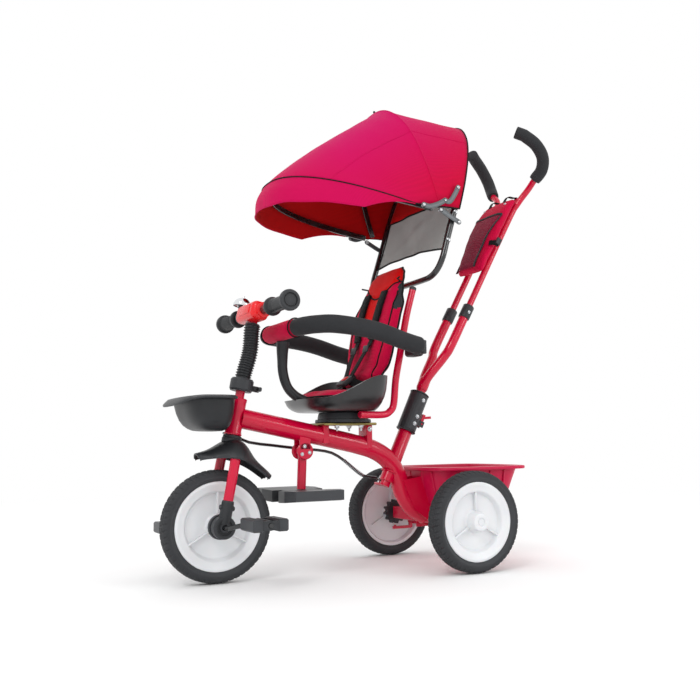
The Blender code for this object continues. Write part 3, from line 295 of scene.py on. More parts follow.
def disc(name, at, side, radius, boss, bore, body, stands_for):
    bm = bmesh.new()
    r = radius - TYRE_DEEP - 0.0004
    if bore:
        profile = [(bore, boss), (0.0195, boss), (0.0210, boss - 0.0012)]
    else:
        profile = [(0, boss - 0.0022), (0.0060, boss - 0.0022), (0.0068, boss - 0.0030),
                   (0.0086, boss - 0.0030),
                   (0.0094, boss - 0.0008), (0.0118, boss), (0.0165, boss), (0.0188, boss - 0.0012)]
    profile += [(0.0218, boss - 0.008), (0.0232, 0.0060), (0.0262, 0.0036), (r - 0.0300, 0.0022),
                (r - 0.0262, 0.0030), (r - 0.0235, 0.0060), (r - 0.0215, 0.0118), (r - 0.0195, 0.0140),
                (r - 0.0175, 0.0148), (r - 0.0080, 0.0166), (r - 0.0062, 0.0178), (r - 0.0020, 0.0180),
                (r, 0.0172),
                (r, -0.0172), (r - 0.0062, -0.0178), (r - 0.0085, -0.0150), (r - 0.0105, -0.0060),
                (0.0250, -0.0062), (0.0215, -0.0085), (0.0200, -0.0225), (bore or 0.006, -0.0225)]
    profile += [profile[0]] if bore else [(0.006, 0.0150), (0, 0.0150)]
    turn(bm, profile, at, (side, 0, 0), 96)
    for k in range(3):
        a = math.radians(90 + 120 * k)
        out = Vector((0, math.cos(a), math.sin(a)))
        for flip, high in ((1, 0.0068), (-1, -0.0120)):
            place = Matrix.Translation(Vector(at) + Vector((side * high, 0, 0)) + out * (r / 2 + 0.0005))
            block(bm, (0.0085, r - 0.0440, 0.0034), place @ Matrix.Rotation(a, 4, "X"), 0.0012, 2)
    return add(name, bm, [white_pp], body, "white_plastic", stands_for, sharp=34)


tyre("front_tyre_tread", HUB, 1, FRONT_R, "front_wheel", "front_tyre")
disc("front_disc", HUB, 1, FRONT_R, 0.0230, 0.0124, "front_wheel", "front_rim")
for side, label in ((1, "left"), (-1, "right")):
    hub_at = spot(side * TRACK / 2, 0, REAR_R)
    tyre(f"rear_tyre_tread_{label}", hub_at, side, REAR_R, f"rear_wheel_{label}", f"rear_tyre_{label}")
    disc(f"rear_disc_{label}", hub_at, side, REAR_R, 0.0300, 0, f"rear_wheel_{label}", f"rear_rim_{label}")

# Small black mouldings that the CAD already shapes: hub, brake drums, pedals, bell parts, swivel.
# Injection-moulded black polypropylene with a fine spark-eroded grain, and a painted highlight that greys its
# convex edges.
black_pp, tree, shader, where = surface("black_polypropylene", IOR=1.49, Specular_IOR_Level=0.35)
grain = node(tree, "TexVoronoi", {"Vector": where, "Scale": 750.0})
cloud = node(tree, "TexNoise", {"Vector": where, "Scale": 18.0, "Detail": 5.0})
tone = node(tree, "Mix", {0: cloud.outputs["Fac"], 6: linear("#161719"), 7: linear("#27292C")},
            data_type="RGBA")
# painted highlight: convex edges, found by pointiness, are mixed towards a lighter grey
edge = node(tree, "NewGeometry", {}).outputs["Pointiness"]
edge_highlight_mask = node(tree, "MapRange", {"Value": edge, "From Min": 0.51, "From Max": 0.62, "To Min": 0.0,
                              "To Max": 0.6})
edge_highlit_tone = node(tree, "Mix", {0: edge_highlight_mask.outputs[0], 6: tone.outputs[2], 7: linear("#46484C")}, data_type="RGBA")
tree.links.new(shader.inputs["Base Color"], edge_highlit_tone.outputs[2])
dull = node(tree, "MapRange", {"Value": cloud.outputs["Fac"], "To Min": 0.34, "To Max": 0.52})
tree.links.new(shader.inputs["Roughness"], dull.outputs[0])
bump = node(tree, "Bump", {"Strength": 0.12, "Distance": 0.0004, "Height": grain.outputs["Distance"]})
tree.links.new(shader.inputs["Normal"], bump.outputs[0])


def finish_cad(mat, slot, *names):
    """A CAD node keeps its shape and takes a finished material."""
    for name in names:
        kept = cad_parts[name]
        for place in kept.material_slots:
            place.material = mat


finish_cad(black_pp, "black_plastic", "front_hub", "brake_drum_left", "brake_drum_right", "bell_clamp",
           "bell_lever", "swivel_base", "coupling_sleeve", "collar_knob", "pedal_left", "pedal_right",
           "footrest_plate", "stem_collar")

# Welded frame: seamless steel tube, head tube, bent brackets and a square axle housing, all coated
# together in one crimson gloss enamel. Zinc-plated bolts hold the seat plate and the footrest lug.
RAKE = math.radians(10.5)
STEER = Matrix.Translation(HUB) @ Matrix.Rotation(-RAKE, 4, "X")
PUSH = Matrix.Translation(spot(0, -0.112, 0.195)) @ Matrix.Rotation(-math.radians(25.2), 4, "X")
HEAD_LOW, HEAD_HIGH, HEAD_R, TUBE_R = 0.1915, 0.2705, 0.017, 0.0215
SEAT_Y, SWIVEL_Z = -0.222, 0.330


def curve(points, steps):
    """A smooth curve through the points, steps pieces to each span."""
    p = [Vector(q) for q in points]
    p = [2 * p[0] - p[1]] + p + [2 * p[-1] - p[-2]]
    out = []
    for i in range(1, len(p) - 2):
        a, b, c, d = p[i - 1:i + 3]
        for k in range(steps):
            t = k / steps
            out.append(0.5 * (2 * b + (c - a) * t + (2 * a - 5 * b + 4 * c - d) * t * t
                              + (3 * b - a - 3 * c + d) * t ** 3))
    return out + [p[-2]]


def sweep(bm, path, radius, sides=24, mat=0, loop=False, flat=None, caps=True):
    """A tube along a path; radius is one number or one for each point; flat squeezes it: (unit, share)."""
    path = [Vector(p) for p in path]
    n = len(path)
    radii = radius if isinstance(radius, (list, tuple)) else [radius] * n
    if loop:
        tangents = [(path[(i + 1) % n] - path[i - 1]).normalized() for i in range(n)]
    else:
        tangents = [(path[min(i + 1, n - 1)] - path[max(i - 1, 0)]).normalized() for i in range(n)]
    first = tangents[0].orthogonal().normalized()
    rows = []
    for i, (at, t) in enumerate(zip(path, tangents)):
        if i:
            first = tangents[i - 1].rotation_difference(t) @ first
        first = (first - t * first.dot(t)).normalized()
        second = t.cross(first)
        row = []
        for k in range(sides):
            a = 2 * math.pi * k / sides
            off = (first * math.cos(a) + second * math.sin(a)) * radii[i]
            if flat:
                off -= flat[0] * off.dot(flat[0]) * (1 - flat[1])
            row.append(bm.verts.new(at + off))
        rows.append(row)
    if loop:
        rows.append(rows[0])
    for a, b in zip(rows, rows[1:]):
        for k in range(sides):
            q = (k + 1) % sides
            bm.faces.new((a[k], a[q], b[q], b[k])).material_index = mat
    if not loop and caps:
        bm.faces.new(rows[0][::-1]).material_index = mat
        bm.faces.new(rows[-1]).material_index = mat


def bolt(bm, at, direction, r, mat):
    """A hex-headed bolt with a washer and a domed end."""
    turn(bm, [(0, 0.0004), (r * 1.55, 0.0004), (r * 1.55, -0.0010), (0, -0.0010)], at, direction, 24, mat)
    turn(bm, [(0, r * 1.15), (r * 0.75, r * 1.05), (r * 1.05, r * 0.85), (r * 1.10, 0.0004)], at,
         direction, 6, mat)


# Gloss enamel: polyester powder coat, with slight orange peel, deep wet highlights and faint scuffs.
enamel, tree, shader, where = surface("crimson_powder_coat", IOR=1.5, Specular_IOR_Level=0.3, Coat_Weight=0.3,
                                      Coat_Roughness=0.08, Coat_IOR=1.5)
cloud = node(tree, "TexNoise", {"Vector": where, "Scale": 7.0, "Detail": 3.0})
tone = node(tree, "Mix", {0: cloud.outputs["Fac"], 6: linear("#BE002E"), 7: linear("#CC0038")},
            data_type="RGBA")
tree.links.new(shader.inputs["Base Color"], tone.outputs[2])
scuff = node(tree, "TexNoise", {"Vector": where, "Scale": 9.0, "Detail": 4.0, "Roughness": 0.5})
dull = node(tree, "MapRange", {"Value": scuff.outputs["Fac"], "From Min": 0.35, "From Max": 0.75,
                               "To Min": 0.20, "To Max": 0.30})
tree.links.new(shader.inputs["Roughness"], dull.outputs[0])
peel = node(tree, "TexNoise", {"Vector": where, "Scale": 260.0, "Detail": 1.0})
bump = node(tree, "Bump", {"Strength": 0.012, "Distance": 0.0005, "Height": peel.outputs["Fac"]})
tree.links.new(shader.inputs["Normal"], bump.outputs[0])

# Zinc-plated steel fasteners: bright grey metal with fine turning marks and a little tarnish.
zinc, tree, shader, where = surface("zinc_plated_steel", Metallic=1.0)
cloud = node(tree, "TexNoise", {"Vector": where, "Scale": 160.0, "Detail": 4.0})
tone = node(tree, "Mix", {0: cloud.outputs["Fac"], 6: linear("#A9ACB0"), 7: linear("#D8DADC")},
            data_type="RGBA")
tree.links.new(shader.inputs["Base Color"], tone.outputs[2])
dull = node(tree, "MapRange", {"Value": cloud.outputs["Fac"], "To Min": 0.18, "To Max": 0.36})
tree.links.new(shader.inputs["Roughness"], dull.outputs[0])
finish_cad(zinc, "steel", "rear_axle")

# Yellow-passivated zinc on the seat's mounting plate: pale gold with a dull greenish cast.
yellow_zinc, tree, shader, where = surface("yellow_zinc", Metallic=0.85)
cloud = node(tree, "TexNoise", {"Vector": where, "Scale": 45.0, "Detail": 4.0})
tone = node(tree, "Mix", {0: cloud.outputs["Fac"], 6: linear("#6F6238"), 7: linear("#A89A60")},
            data_type="RGBA")
tree.links.new(shader.inputs["Base Color"], tone.outputs[2])
dull = node(tree, "MapRange", {"Value": cloud.outputs["Fac"], "To Min": 0.25, "To Max": 0.45})
tree.links.new(shader.inputs["Roughness"], dull.outputs[0])

bm = bmesh.new()
down = [spot(0, y, z) for y, z in ((-0.468, 0.3405), (-0.400, 0.3265), (-0.335, 0.3125), (-0.262, 0.2970),
                                   (-0.190, 0.2810), (-0.142, 0.2665), (-0.106, 0.2430), (-0.083, 0.2080),
                                   (-0.068, 0.1680), (-0.044, 0.1330), (-0.010, 0.1120))]
sweep(bm, curve(down, 6), TUBE_R, 36)
turn(bm, [(0.0107, HEAD_LOW), (0.0160, HEAD_LOW), (0.0178, HEAD_LOW + 0.0016), (0.0178, HEAD_LOW + 0.0070),
          (HEAD_R, HEAD_LOW + 0.0085), (HEAD_R, HEAD_HIGH - 0.0080), (0.0176, HEAD_HIGH - 0.0065),
          (0.0176, HEAD_HIGH - 0.0012), (0.0165, HEAD_HIGH), (0.0107, HEAD_HIGH), (0.0107, HEAD_LOW)],
     HUB, STEER.to_3x3() @ Vector((0, 0, 1)), 48)
house = TRACK / 2 - TYRE_WIDE / 2 - 0.0220
block(bm, (2 * house, 0.030, 0.030), Matrix.Translation(spot(0, 0, REAR_R)), 0.004, 4)
block(bm, (0.080, 0.132, 0.006), Matrix.Translation(spot(0, SEAT_Y, SWIVEL_Z - 0.0036)), 0.002, 3, 2)
block(bm, (0.044, 0.014, 0.044), Matrix.Translation(spot(0, SEAT_Y - 0.052, SWIVEL_Z - 0.025)), 0.0022, 3)
block(bm, (0.044, 0.014, 0.056), Matrix.Translation(spot(0, SEAT_Y + 0.057, SWIVEL_Z - 0.033)), 0.0022, 3)
sweep(bm, [PUSH @ Vector((0, 0, z)) for z in (-0.001, 0.0003, 0.124, 0.1265)],
      [0.0150, 0.0165, 0.0165, 0.0150], 32)
for side in (1, -1):
    # side gussets from the tube's foot to the axle housing, folded outwards along the front edge
    plate = [(-0.080, 0.196), (-0.030, 0.204), (0.012, 0.124), (0.012, 0.098), (-0.012, 0.096),
             (-0.050, 0.128)]
    rows = [[bm.verts.new(spot(side * (x + (0.012 if k in (2, 3, 4) else 0)), y, z))
             for k, (y, z) in enumerate(plate)] for x in (0.0205, 0.0235)]
    bm.faces.new(rows[0])
    bm.faces.new(rows[1][::-1])
    for k in range(6):
        bm.faces.new((rows[0][k], rows[0][k - 1], rows[1][k - 1], rows[1][k]))
    turn(bm, [(0, 0.0125), (0.0165, 0.0125), (0.0190, 0.0140), (0.0190, 0.0160), (0.0170, 0.0175),
              (0, 0.0175)],
         spot(0, -0.323, 0.268), (side, 0, 0), 40)
    block(bm, (0.0050, 0.026, 0.036), Matrix.Translation(spot(side * 0.0150, -0.323, 0.289)), 0.0012, 2)
    block(bm, (0.0040, 0.046, 0.024), Matrix.Translation(spot(side * 0.070, 0.032, 0.090)), 0.0012, 2)
    for k in range(3):
        a = math.radians(100 + 120 * k)
        bolt(bm, spot(side * 0.0176, -0.323 + 0.0105 * math.cos(a), 0.268 + 0.0105 * math.sin(a)),
             (side, 0, 0), 0.0026, 1)
    bolt(bm, spot(side * 0.0720, 0.018, 0.094), (side, 0, 0), 0.0030, 1)
    bolt(bm, spot(side * 0.0375, 0.000, 0.112), (side, 0, 0), 0.0032, 1)
    for front in (1, -1):
        bolt(bm, spot(side * 0.030, SEAT_Y + front * 0.030, SWIVEL_Z - 0.0075), (0, 0, -1), 0.0050, 1)
        sweep(bm, [spot(side * 0.030, SEAT_Y + front * 0.030, SWIVEL_Z - z) for z in (0.010, 0.019)],
              0.0026, 12, 1)
    bolt(bm, spot(side * 0.0222, SEAT_Y + 0.0570, SWIVEL_Z - 0.015), (side, 0, 0), 0.0036, 1)
# weld beads: short rings of small humps where tubes meet
for centre, normal, r in ((STEER @ Vector((0, 0, 0.1935)), STEER.to_3x3() @ Vector((0, 0, 1)), 0.0168),
                          (PUSH @ Vector((0, 0, 0.0225)), PUSH.to_3x3() @ Vector((0, 0, 1)), 0.0182)):
    quat = normal.to_track_quat("Z", "Y")
    ring = [centre + quat @ Vector((math.cos(a) * r, math.sin(a) * r, 0))
            for a in (2 * math.pi * k / 60 for k in range(60))]
    sweep(bm, ring, [0.0019 + 0.0005 * (k % 2) for k in range(60)], 8, 0, loop=True)
add("welded_frame", bm, [enamel, zinc, yellow_zinc], "frame", "crimson_paint", "main_frame", sharp=32)
finish_cad(enamel, "crimson_paint", "brake_lever", "coupling_lever", "footrest_tube")

# Fork and steering column: bent steel tube in the frame's enamel, its feet pushed into black
# moulded ends that carry the axle. The crown wears a black bearing cup under the head tube.
bm = bmesh.new()
leg = [(0.047, 0, 0.030), (0.047, 0, 0.060), (0.047, 0, 0.120), (0.0440, 0, 0.146), (0.0330, 0, 0.164),
       (0.0160, 0, 0.1715), (0, 0, 0.1725)]
both = leg + [(-x, y, z) for x, y, z in reversed(leg[:-1])]
sweep(bm, [STEER @ p for p in curve(both, 5)], 0.0105, 28)
sweep(bm, [STEER @ Vector((0, 0, z)) for z in (0.172, 0.300, 0.4495)], 0.0100, 28)
block(bm, (0.040, 0.014, 0.004), STEER @ Matrix.Translation((-0.020, 0, 0.1865)), 0.001, 2)
sweep(bm, [STEER @ Vector((-0.034, 0, z)) for z in (0.1865, 0.2015)], 0.0030, 16, 2)
steer_up = STEER.to_3x3() @ Vector((0, 0, 1))
turn(bm, [(0.0101, 0.1745), (0.0205, 0.1745), (0.0212, 0.1755), (0.0212, 0.1835), (0.0198, 0.1848),
          (0.0198, 0.1895), (0.0180, 0.1905), (0.0101, 0.1905), (0.0101, 0.1745)], HUB, steer_up, 40, 1)
for side in (1, -1):
    sweep(bm, [STEER @ Vector((side * 0.047, 0, z)) for z in (0.006, 0.010, 0.050, 0.0530, 0.0545)],
          [0.0118, 0.0128, 0.0128, 0.0124, 0.0112], 28, 1)
    sweep(bm, [STEER @ Vector((side * 0.047, y, 0.0400)) for y in (-0.0160, -0.0145, 0.0145, 0.0160)],
          [0.0040, 0.0052, 0.0052, 0.0040], 16, 1)
    turn(bm, [(0.0060, 0.0362), (0.0215, 0.0362), (0.0236, 0.0380), (0.0236, 0.0555), (0.0222, 0.0575),
              (0.0160, 0.0575), (0.0150, 0.0560), (0.0110, 0.0560), (0.0100, 0.0580), (0.0060, 0.0580),
              (0.0060, 0.0362)], HUB, (side, 0, 0), 48, 1)
add("fork_and_column", bm, [enamel, black_pp, zinc], "steering", "crimson_paint", "fork", sharp=32)

# Mudguard: one moulded polypropylene saddle. It drops over the fork's shoulders with a short neck,
# and runs out to two narrow tips with thick rolled ends.
bm = bmesh.new()
rows = []
for k in range(49):
    u = k / 48
    a = 27 - 66 * u
    near = math.exp(-((a + 2) / 13.5) ** 2)
    tip = 1 - 0.40 * abs(2 * u - 1) ** 7
    wide = (0.0300 + 0.0325 * near) * tip
    top = 0.1545 + 0.0290 * near + 0.0030 * abs(2 * u - 1) ** 3
    row = []
    for j in range(25):
        x = -1 + j / 12
        drop = (0.0125 + 0.0275 * near) * abs(x) ** 3.4
        row.append((x * wide, top - drop))
    for j in range(25):
        x = 1 - j / 12
        drop = (0.0125 + 0.0275 * near) * abs(x) ** 3.4
        row.append((x * wide * 0.965, top - drop - 0.0028 - 0.0014 * (k in (0, 48))))
    t = math.radians(a)
    rows.append([bm.verts.new(STEER @ Vector((x, -math.sin(t) * r, math.cos(t) * r))) for x, r in row])
for a, b in zip(rows, rows[1:]):
    for j in range(50):
        q = (j + 1) % 50
        bm.faces.new((a[j], a[q], b[q], b[j]))
bm.faces.new(rows[0][::-1])
bm.faces.new(rows[-1])
for end, turned_by in ((rows[0], 27), (rows[-1], -39)):
    sweep(bm, [v.co.lerp(w.co, 0.5) for v, w in zip(end[1:24], end[48:25:-1])], 0.0023, 10)
add("mudguard", bm, [black_pp], "steering", "black_plastic", "fender", sharp=50)

# Stem cover: a blow-moulded bellows hose pulled over the column, held below by a clamp collar.
bm = bmesh.new()
rings, path = [], []
for k in range(22 * 8 + 1):
    t = k / 176
    path.append(STEER @ Vector((0, 0.0050 * math.sin(math.pi * t) ** 2, 0.3120 + 0.1240 * t)))
    rings.append(0.0152 + 0.0027 * max(0.0, math.sin(2 * math.pi * k / 8)) ** 0.7)
sweep(bm, path, rings, 40)
add("bellows_hose", bm, [black_pp], "steering", "black_plastic", "stem_cover", sharp=60)

# Handlebar: black enamelled bar, red ABS cover over the clamp, and soft black PVC grips with a
# broad flange at each end. The bell is a chromed steel dome on a black base.
BAR_UP, BAR_R = 0.4605, 0.0105
# Gloss black enamel on steel tube: thin, hard, sharp reflections with a few dull rubs.
black_enamel, tree, shader, where = surface("black_enamel", IOR=1.5, Coat_Weight=0.5, Coat_Roughness=0.08)
cloud = node(tree, "TexNoise", {"Vector": where, "Scale": 28.0, "Detail": 5.0})
tone = node(tree, "Mix", {0: cloud.outputs["Fac"], 6: linear("#101113"), 7: linear("#1E2023")},
            data_type="RGBA")
tree.links.new(shader.inputs["Base Color"], tone.outputs[2])
dull = node(tree, "MapRange", {"Value": cloud.outputs["Fac"], "From Min": 0.4, "From Max": 0.7,
                               "To Min": 0.18, "To Max": 0.40})
tree.links.new(shader.inputs["Roughness"], dull.outputs[0])
# Red ABS: bright, glossy, warmer than the enamel.
red_abs, tree, shader, where = surface("red_abs", IOR=1.54, Specular_IOR_Level=0.35, Coat_Weight=0.15,
                                       Coat_Roughness=0.1)
cloud = node(tree, "TexNoise", {"Vector": where, "Scale": 20.0, "Detail": 3.0})
tone = node(tree, "Mix", {0: cloud.outputs["Fac"], 6: linear("#D40A14"), 7: linear("#E41016")},
            data_type="RGBA")
tree.links.new(shader.inputs["Base Color"], tone.outputs[2])
dull = node(tree, "MapRange", {"Value": cloud.outputs["Fac"], "To Min": 0.25, "To Max": 0.38})
tree.links.new(shader.inputs["Roughness"], dull.outputs[0])
# Chromed steel: mirror-bright, faintly smeared.
chrome, tree, shader, where = surface("chromed_steel", Metallic=1.0, Base_Color=linear("#E4E6E8"))
smear = node(tree, "TexNoise", {"Vector": where, "Scale": 90.0, "Detail": 3.0})
dull = node(tree, "MapRange", {"Value": smear.outputs["Fac"], "To Min": 0.04, "To Max": 0.14})
tree.links.new(shader.inputs["Roughness"], dull.outputs[0])

bm = bmesh.new()
sweep(bm, [STEER @ Vector((x, 0, BAR_UP)) for x in (-0.196, 0.196)], BAR_R, 32)
add("steel_handlebar", bm, [black_enamel], "steering", "black_paint", "handlebar")
bm = bmesh.new()
block(bm, (0.110, 0.040, 0.040), STEER @ Matrix.Translation((0, -0.005, BAR_UP - 0.0015)), 0.012, 5)
block(bm, (0.062, 0.003, 0.020), STEER @ Matrix.Translation((0.004, -0.0252, BAR_UP)), 0.0014, 3)
turn(bm, [(0, 0.0600), (0.0150, 0.0600), (0.0165, 0.0590), (0.0165, 0.0500)], STEER @ Vector((0, 0, BAR_UP)),
     (1, 0, 0), 32)
turn(bm, [(0, 0.0600), (0.0150, 0.0600), (0.0165, 0.0590), (0.0165, 0.0500)], STEER @ Vector((0, 0, BAR_UP)),
     (-1, 0, 0), 32)
add("clamp_cover", bm, [red_abs], "steering", "red_plastic", "handlebar_cover", sharp=45)
for side, label in ((1, "left"), (-1, "right")):
    bm = bmesh.new()
    end = 0.203
    profile = [(0, end - 0.0012), (0.0120, end - 0.0012), (0.0128, end - 0.0022), (0.0142, end - 0.0022),
               (0.0150, end), (0.0190, end), (0.0216, end - 0.0022), (0.0220, end - 0.0060),
               (0.0214, end - 0.0100), (0.0180, end - 0.0120), (0.0158, end - 0.0150)]
    for k in range(17):
        h = end - 0.018 - k * 0.0042
        profile += [(0.0157 - 0.0008 * math.sin(math.pi * k / 16), h),
                    (0.0151 - 0.0008 * math.sin(math.pi * k / 16), h - 0.0012)]
    profile += [(0.0160, 0.1150), (0.0192, 0.1105), (0.0200, 0.1080), (0.0198, 0.1035), (0.0180, 0.1020),
                (0.0108, 0.1020)]
    turn(bm, profile, STEER @ Vector((0, 0, BAR_UP)), (side, 0, 0), 48)
    add(f"pvc_grip_{label}", bm, [black_pp], "steering", "black_plastic", f"grip_{label}", sharp=40)
bm = bmesh.new()
dome = [(0.0212 * math.sin(a), 0.0215 * math.cos(a)) for a in (math.radians(6 * k) for k in range(0, 15))]
turn(bm, [(0, 0.0235), (0.0030, 0.0232), (0.0034, 0.0214)] + dome[2:] + [(0.0205, -0.0008), (0.0190, 0.0005)],
     STEER @ Vector((-0.077, -0.006, BAR_UP + 0.0255)), steer_up, 56)
add("bell_shell", bm, [chrome], "steering", "chrome", "bell_dome", sharp=50)

# Front tub: thin-walled black polypropylene, hung on the head tube, with a wide rolled lip that
# droops at the front. Rear tub: the same moulding in crimson behind the seat.
# Crimson polypropylene: satin, a little translucent, with flow marks from the mould.
red_pp, tree, shader, where = surface("crimson_polypropylene", IOR=1.49, Specular_IOR_Level=0.3,
                                      Subsurface_Weight=0.04,
                                      Subsurface_Scale=0.003)
cloud = node(tree, "TexNoise", {"Vector": where, "Scale": 12.0, "Detail": 4.0})
tone = node(tree, "Mix", {0: cloud.outputs["Fac"], 6: linear("#B8003A"), 7: linear("#C90044")},
            data_type="RGBA")
tree.links.new(shader.inputs["Base Color"], tone.outputs[2])
dull = node(tree, "MapRange", {"Value": cloud.outputs["Fac"], "To Min": 0.34, "To Max": 0.48})
tree.links.new(shader.inputs["Roughness"], dull.outputs[0])
grain = node(tree, "TexVoronoi", {"Vector": where, "Scale": 800.0})
bump = node(tree, "Bump", {"Strength": 0.08, "Distance": 0.0004, "Height": grain.outputs["Distance"]})
tree.links.new(shader.inputs["Normal"], bump.outputs[0])


def rounded(half_x, half_y, n, power):
    out = []
    for i in range(n):
        a = 2 * math.pi * (i + 0.5) / n
        c, s = math.cos(a), math.sin(a)
        out.append((half_x * math.copysign(abs(c) ** (2 / power), c),
                    half_y * math.copysign(abs(s) ** (2 / power), s)))
    return out


def loft(bm, rings, mat=0, caps=True):
    """A skin through rings of equal point counts, with a fan at each end."""
    rows = [[bm.verts.new(p) for p in ring] for ring in rings]
    n = len(rows[0])
    for a, b in zip(rows, rows[1:]):
        for i in range(n):
            bm.faces.new((a[i], a[(i + 1) % n], b[(i + 1) % n], b[i])).material_index = mat
    for end in (rows[0], rows[-1]) if caps else ():
        middle = bm.verts.new(sum((v.co for v in end), Vector()) / n)
        for i in range(n):
            bm.faces.new((end[i], end[(i + 1) % n], middle)).material_index = mat
    return rows


def tub(bm, levels, droop, power=4.6, n=96):
    rings = []
    for hx, hy, cy, z, slope, drop in levels:
        rings.append([spot(x, cy + y, z + slope * y - drop * droop * max(0.0, -y / hy) ** 3)
                      for x, y in rounded(hx, hy, n, power)])
    loft(bm, rings)


bm = bmesh.new()
tub(bm, [(0.034, 0.017, -0.5390, 0.3132, -0.03, 0), (0.048, 0.025, -0.5400, 0.3140, -0.04, 0),
         (0.0610, 0.0325, -0.5412, 0.3176, -0.05, 0), (0.0710, 0.0395, -0.5430, 0.3245, -0.05, 0),
         (0.0790, 0.0450, -0.5445, 0.3350, -0.04, 0), (0.0845, 0.0495, -0.5460, 0.3500, -0.02, 0),
         (0.0880, 0.0540, -0.5480, 0.3760, 0.0, 0.1), (0.0960, 0.0610, -0.5530, 0.3800, 0.0, 0.4),
         (0.1018, 0.0660, -0.5560, 0.3790, 0.0, 1.0), (0.1024, 0.0666, -0.5560, 0.3805, 0.0, 1.0),
         (0.1018, 0.0662, -0.5560, 0.3825, 0.0, 1.0), (0.0950, 0.0600, -0.5525, 0.3855, 0.0, 0.35),
         (0.0880, 0.0540, -0.5485, 0.3850, 0.0, 0.1),
(0.0850, 0.0510, -0.5475, 0.3770, 0.05, 0),
         (0.0812, 0.0465, -0.5460, 0.3510, -0.02, 0), (0.0755, 0.0420, -0.5445, 0.3375, -0.04, 0),
         (0.0675, 0.0365, -0.5430, 0.3280, -0.05, 0), (0.0580, 0.0300, -0.5412, 0.3212, -0.05, 0),
         (0.0450, 0.0230, -0.5400, 0.3176, -0.04, 0)], 0.015, 3.1)
block(bm, (0.030, 0.010, 0.040), STEER @ Matrix.Translation((0, -0.0228, 0.2440)), 0.002, 3)
for row in (0.0065, -0.0065):
    bolt(bm, STEER @ Vector((0, -0.0282, 0.2440 + row)), STEER.to_3x3() @ Vector((0, -1, 0)), 0.0026, 1)
add("front_carry_tub", bm, [black_pp, zinc], "frame", "black_plastic", "front_tub", sharp=42)
bm = bmesh.new()
tub(bm, [(0.088, 0.076, 0.071, 0.1352, 0, 0), (0.097, 0.085, 0.073, 0.1358, 0, 0),
         (0.1035, 0.0915, 0.0755, 0.1390, 0, 0), (0.1080, 0.1000, 0.078, 0.1640, 0, 0),
         (0.1120, 0.1080, 0.080, 0.1900, 0, 0), (0.1168, 0.1155, 0.083, 0.2165, 0, 0),
         (0.1260, 0.1235, 0.084, 0.2190, 0, 0), (0.1338, 0.1300, 0.085, 0.2180, 0, 0),
         (0.1350, 0.1312, 0.085, 0.2195, 0, 0), (0.1350, 0.1312, 0.085, 0.2230, 0, 0),
         (0.1335, 0.1300, 0.085, 0.2250, 0, 0), (0.1240, 0.1215, 0.084, 0.2258, 0, 0),
         (0.1165, 0.1150, 0.0835, 0.2245, 0, 0), (0.1140, 0.1125, 0.083, 0.2170, 0, 0),
         (0.1092, 0.1052, 0.080, 0.1900, 0, 0), (0.1050, 0.0970, 0.078, 0.1645, 0, 0),
         (0.1000, 0.0880, 0.0755, 0.1420, 0, 0), (0.086, 0.074, 0.071, 0.1386, 0, 0)], 0, 5.2)
for side in (1, -1):
    for y in (0.020, 0.060, 0.100, 0.140):
        sweep(bm, [spot(side * 0.1052, y, 0.145), spot(side * 0.1165, y, 0.2150)], [0.0020, 0.0028], 10)
for x in (-0.07, -0.025, 0.025, 0.07):
    sweep(bm, [spot(x, -0.0160, 0.1450), spot(x, -0.0320, 0.2150)], [0.0020, 0.0028], 10)
add("rear_carry_tub", bm, [red_pp], "frame", "red_plastic", "rear_tub", sharp=42)

# Crank and steering link: bent round steel in black enamel. The link runs under the tube in a
# black sleeve and ends in a bare spring eye at the push bar's arm.
finish_cad(black_enamel, "black_paint", "crank", "steering_rod")

# Seat frame: two tubes bent up behind the seat, welded to a turned disc over the swivel.
L_X, SEAT_BASE = 0.084, 0.3540
TUBE_Z = SEAT_BASE - 0.0003 - 0.008
bm = bmesh.new()
for side in (1, -1):
    rail = [spot(side * L_X, y, TUBE_Z + z) for y, z in (
        (SEAT_Y, 0), (-0.166, 0), (-0.147, 0.007), (-0.1365, 0.024), (-0.1300, 0.080), (-0.1170, 0.140),
        (-0.1000, 0.222), (-0.0800, 0.2920))]
    sweep(bm, curve(rail, 6), 0.0080, 24)
    turn(bm, [(0, 0.0030), (0.0060, 0.0022), (0.0082, 0), (0.0082, -0.006), (0, -0.006)], rail[-1],
         rail[-1] - rail[-2], 24, 1)
sweep(bm, [spot(x, SEAT_Y + 0.015, TUBE_Z) for x in (-L_X, L_X)], 0.0065, 20)
turn(bm, [(0, 0.3526), (0.0540, 0.3526), (0.0558, 0.3510), (0.0580, 0.3415), (0.0580, 0.3376), (0, 0.3376)],
     spot(0, SEAT_Y, 0), (0, 0, 1), 48, 1)
add("seat_rails", bm, [enamel, black_pp], "seat", "crimson_paint", "seat_frame", sharp=35)

# Seat shell: a deep glossy polypropylene bucket, low at the front lip and swept up at the back.
bm = bmesh.new()
# Polished polypropylene: black, smooth from a polished mould, with soft wide highlights.
gloss_pp, tree, shader, where = surface("polished_black_polypropylene", IOR=1.49, Coat_Weight=0.25,
                                        Coat_Roughness=0.22)
cloud = node(tree, "TexNoise", {"Vector": where, "Scale": 16.0, "Detail": 5.0})
tone = node(tree, "Mix", {0: cloud.outputs["Fac"], 6: linear("#0F1011"), 7: linear("#1B1C1F")},
            data_type="RGBA")
tree.links.new(shader.inputs["Base Color"], tone.outputs[2])
dull = node(tree, "MapRange", {"Value": cloud.outputs["Fac"], "To Min": 0.24, "To Max": 0.40})
tree.links.new(shader.inputs["Roughness"], dull.outputs[0])
SEAT_MID = -0.339 + 0.095


def rim_height(y):
    """Height of the bucket's rim over its floor; y runs from -1 at the front to 1 at the back."""
    t = max(0.0, min(1.0, (y + 0.85) / 1.5))
    return 0.027 + 0.050 * (t * t * (3 - 2 * t))


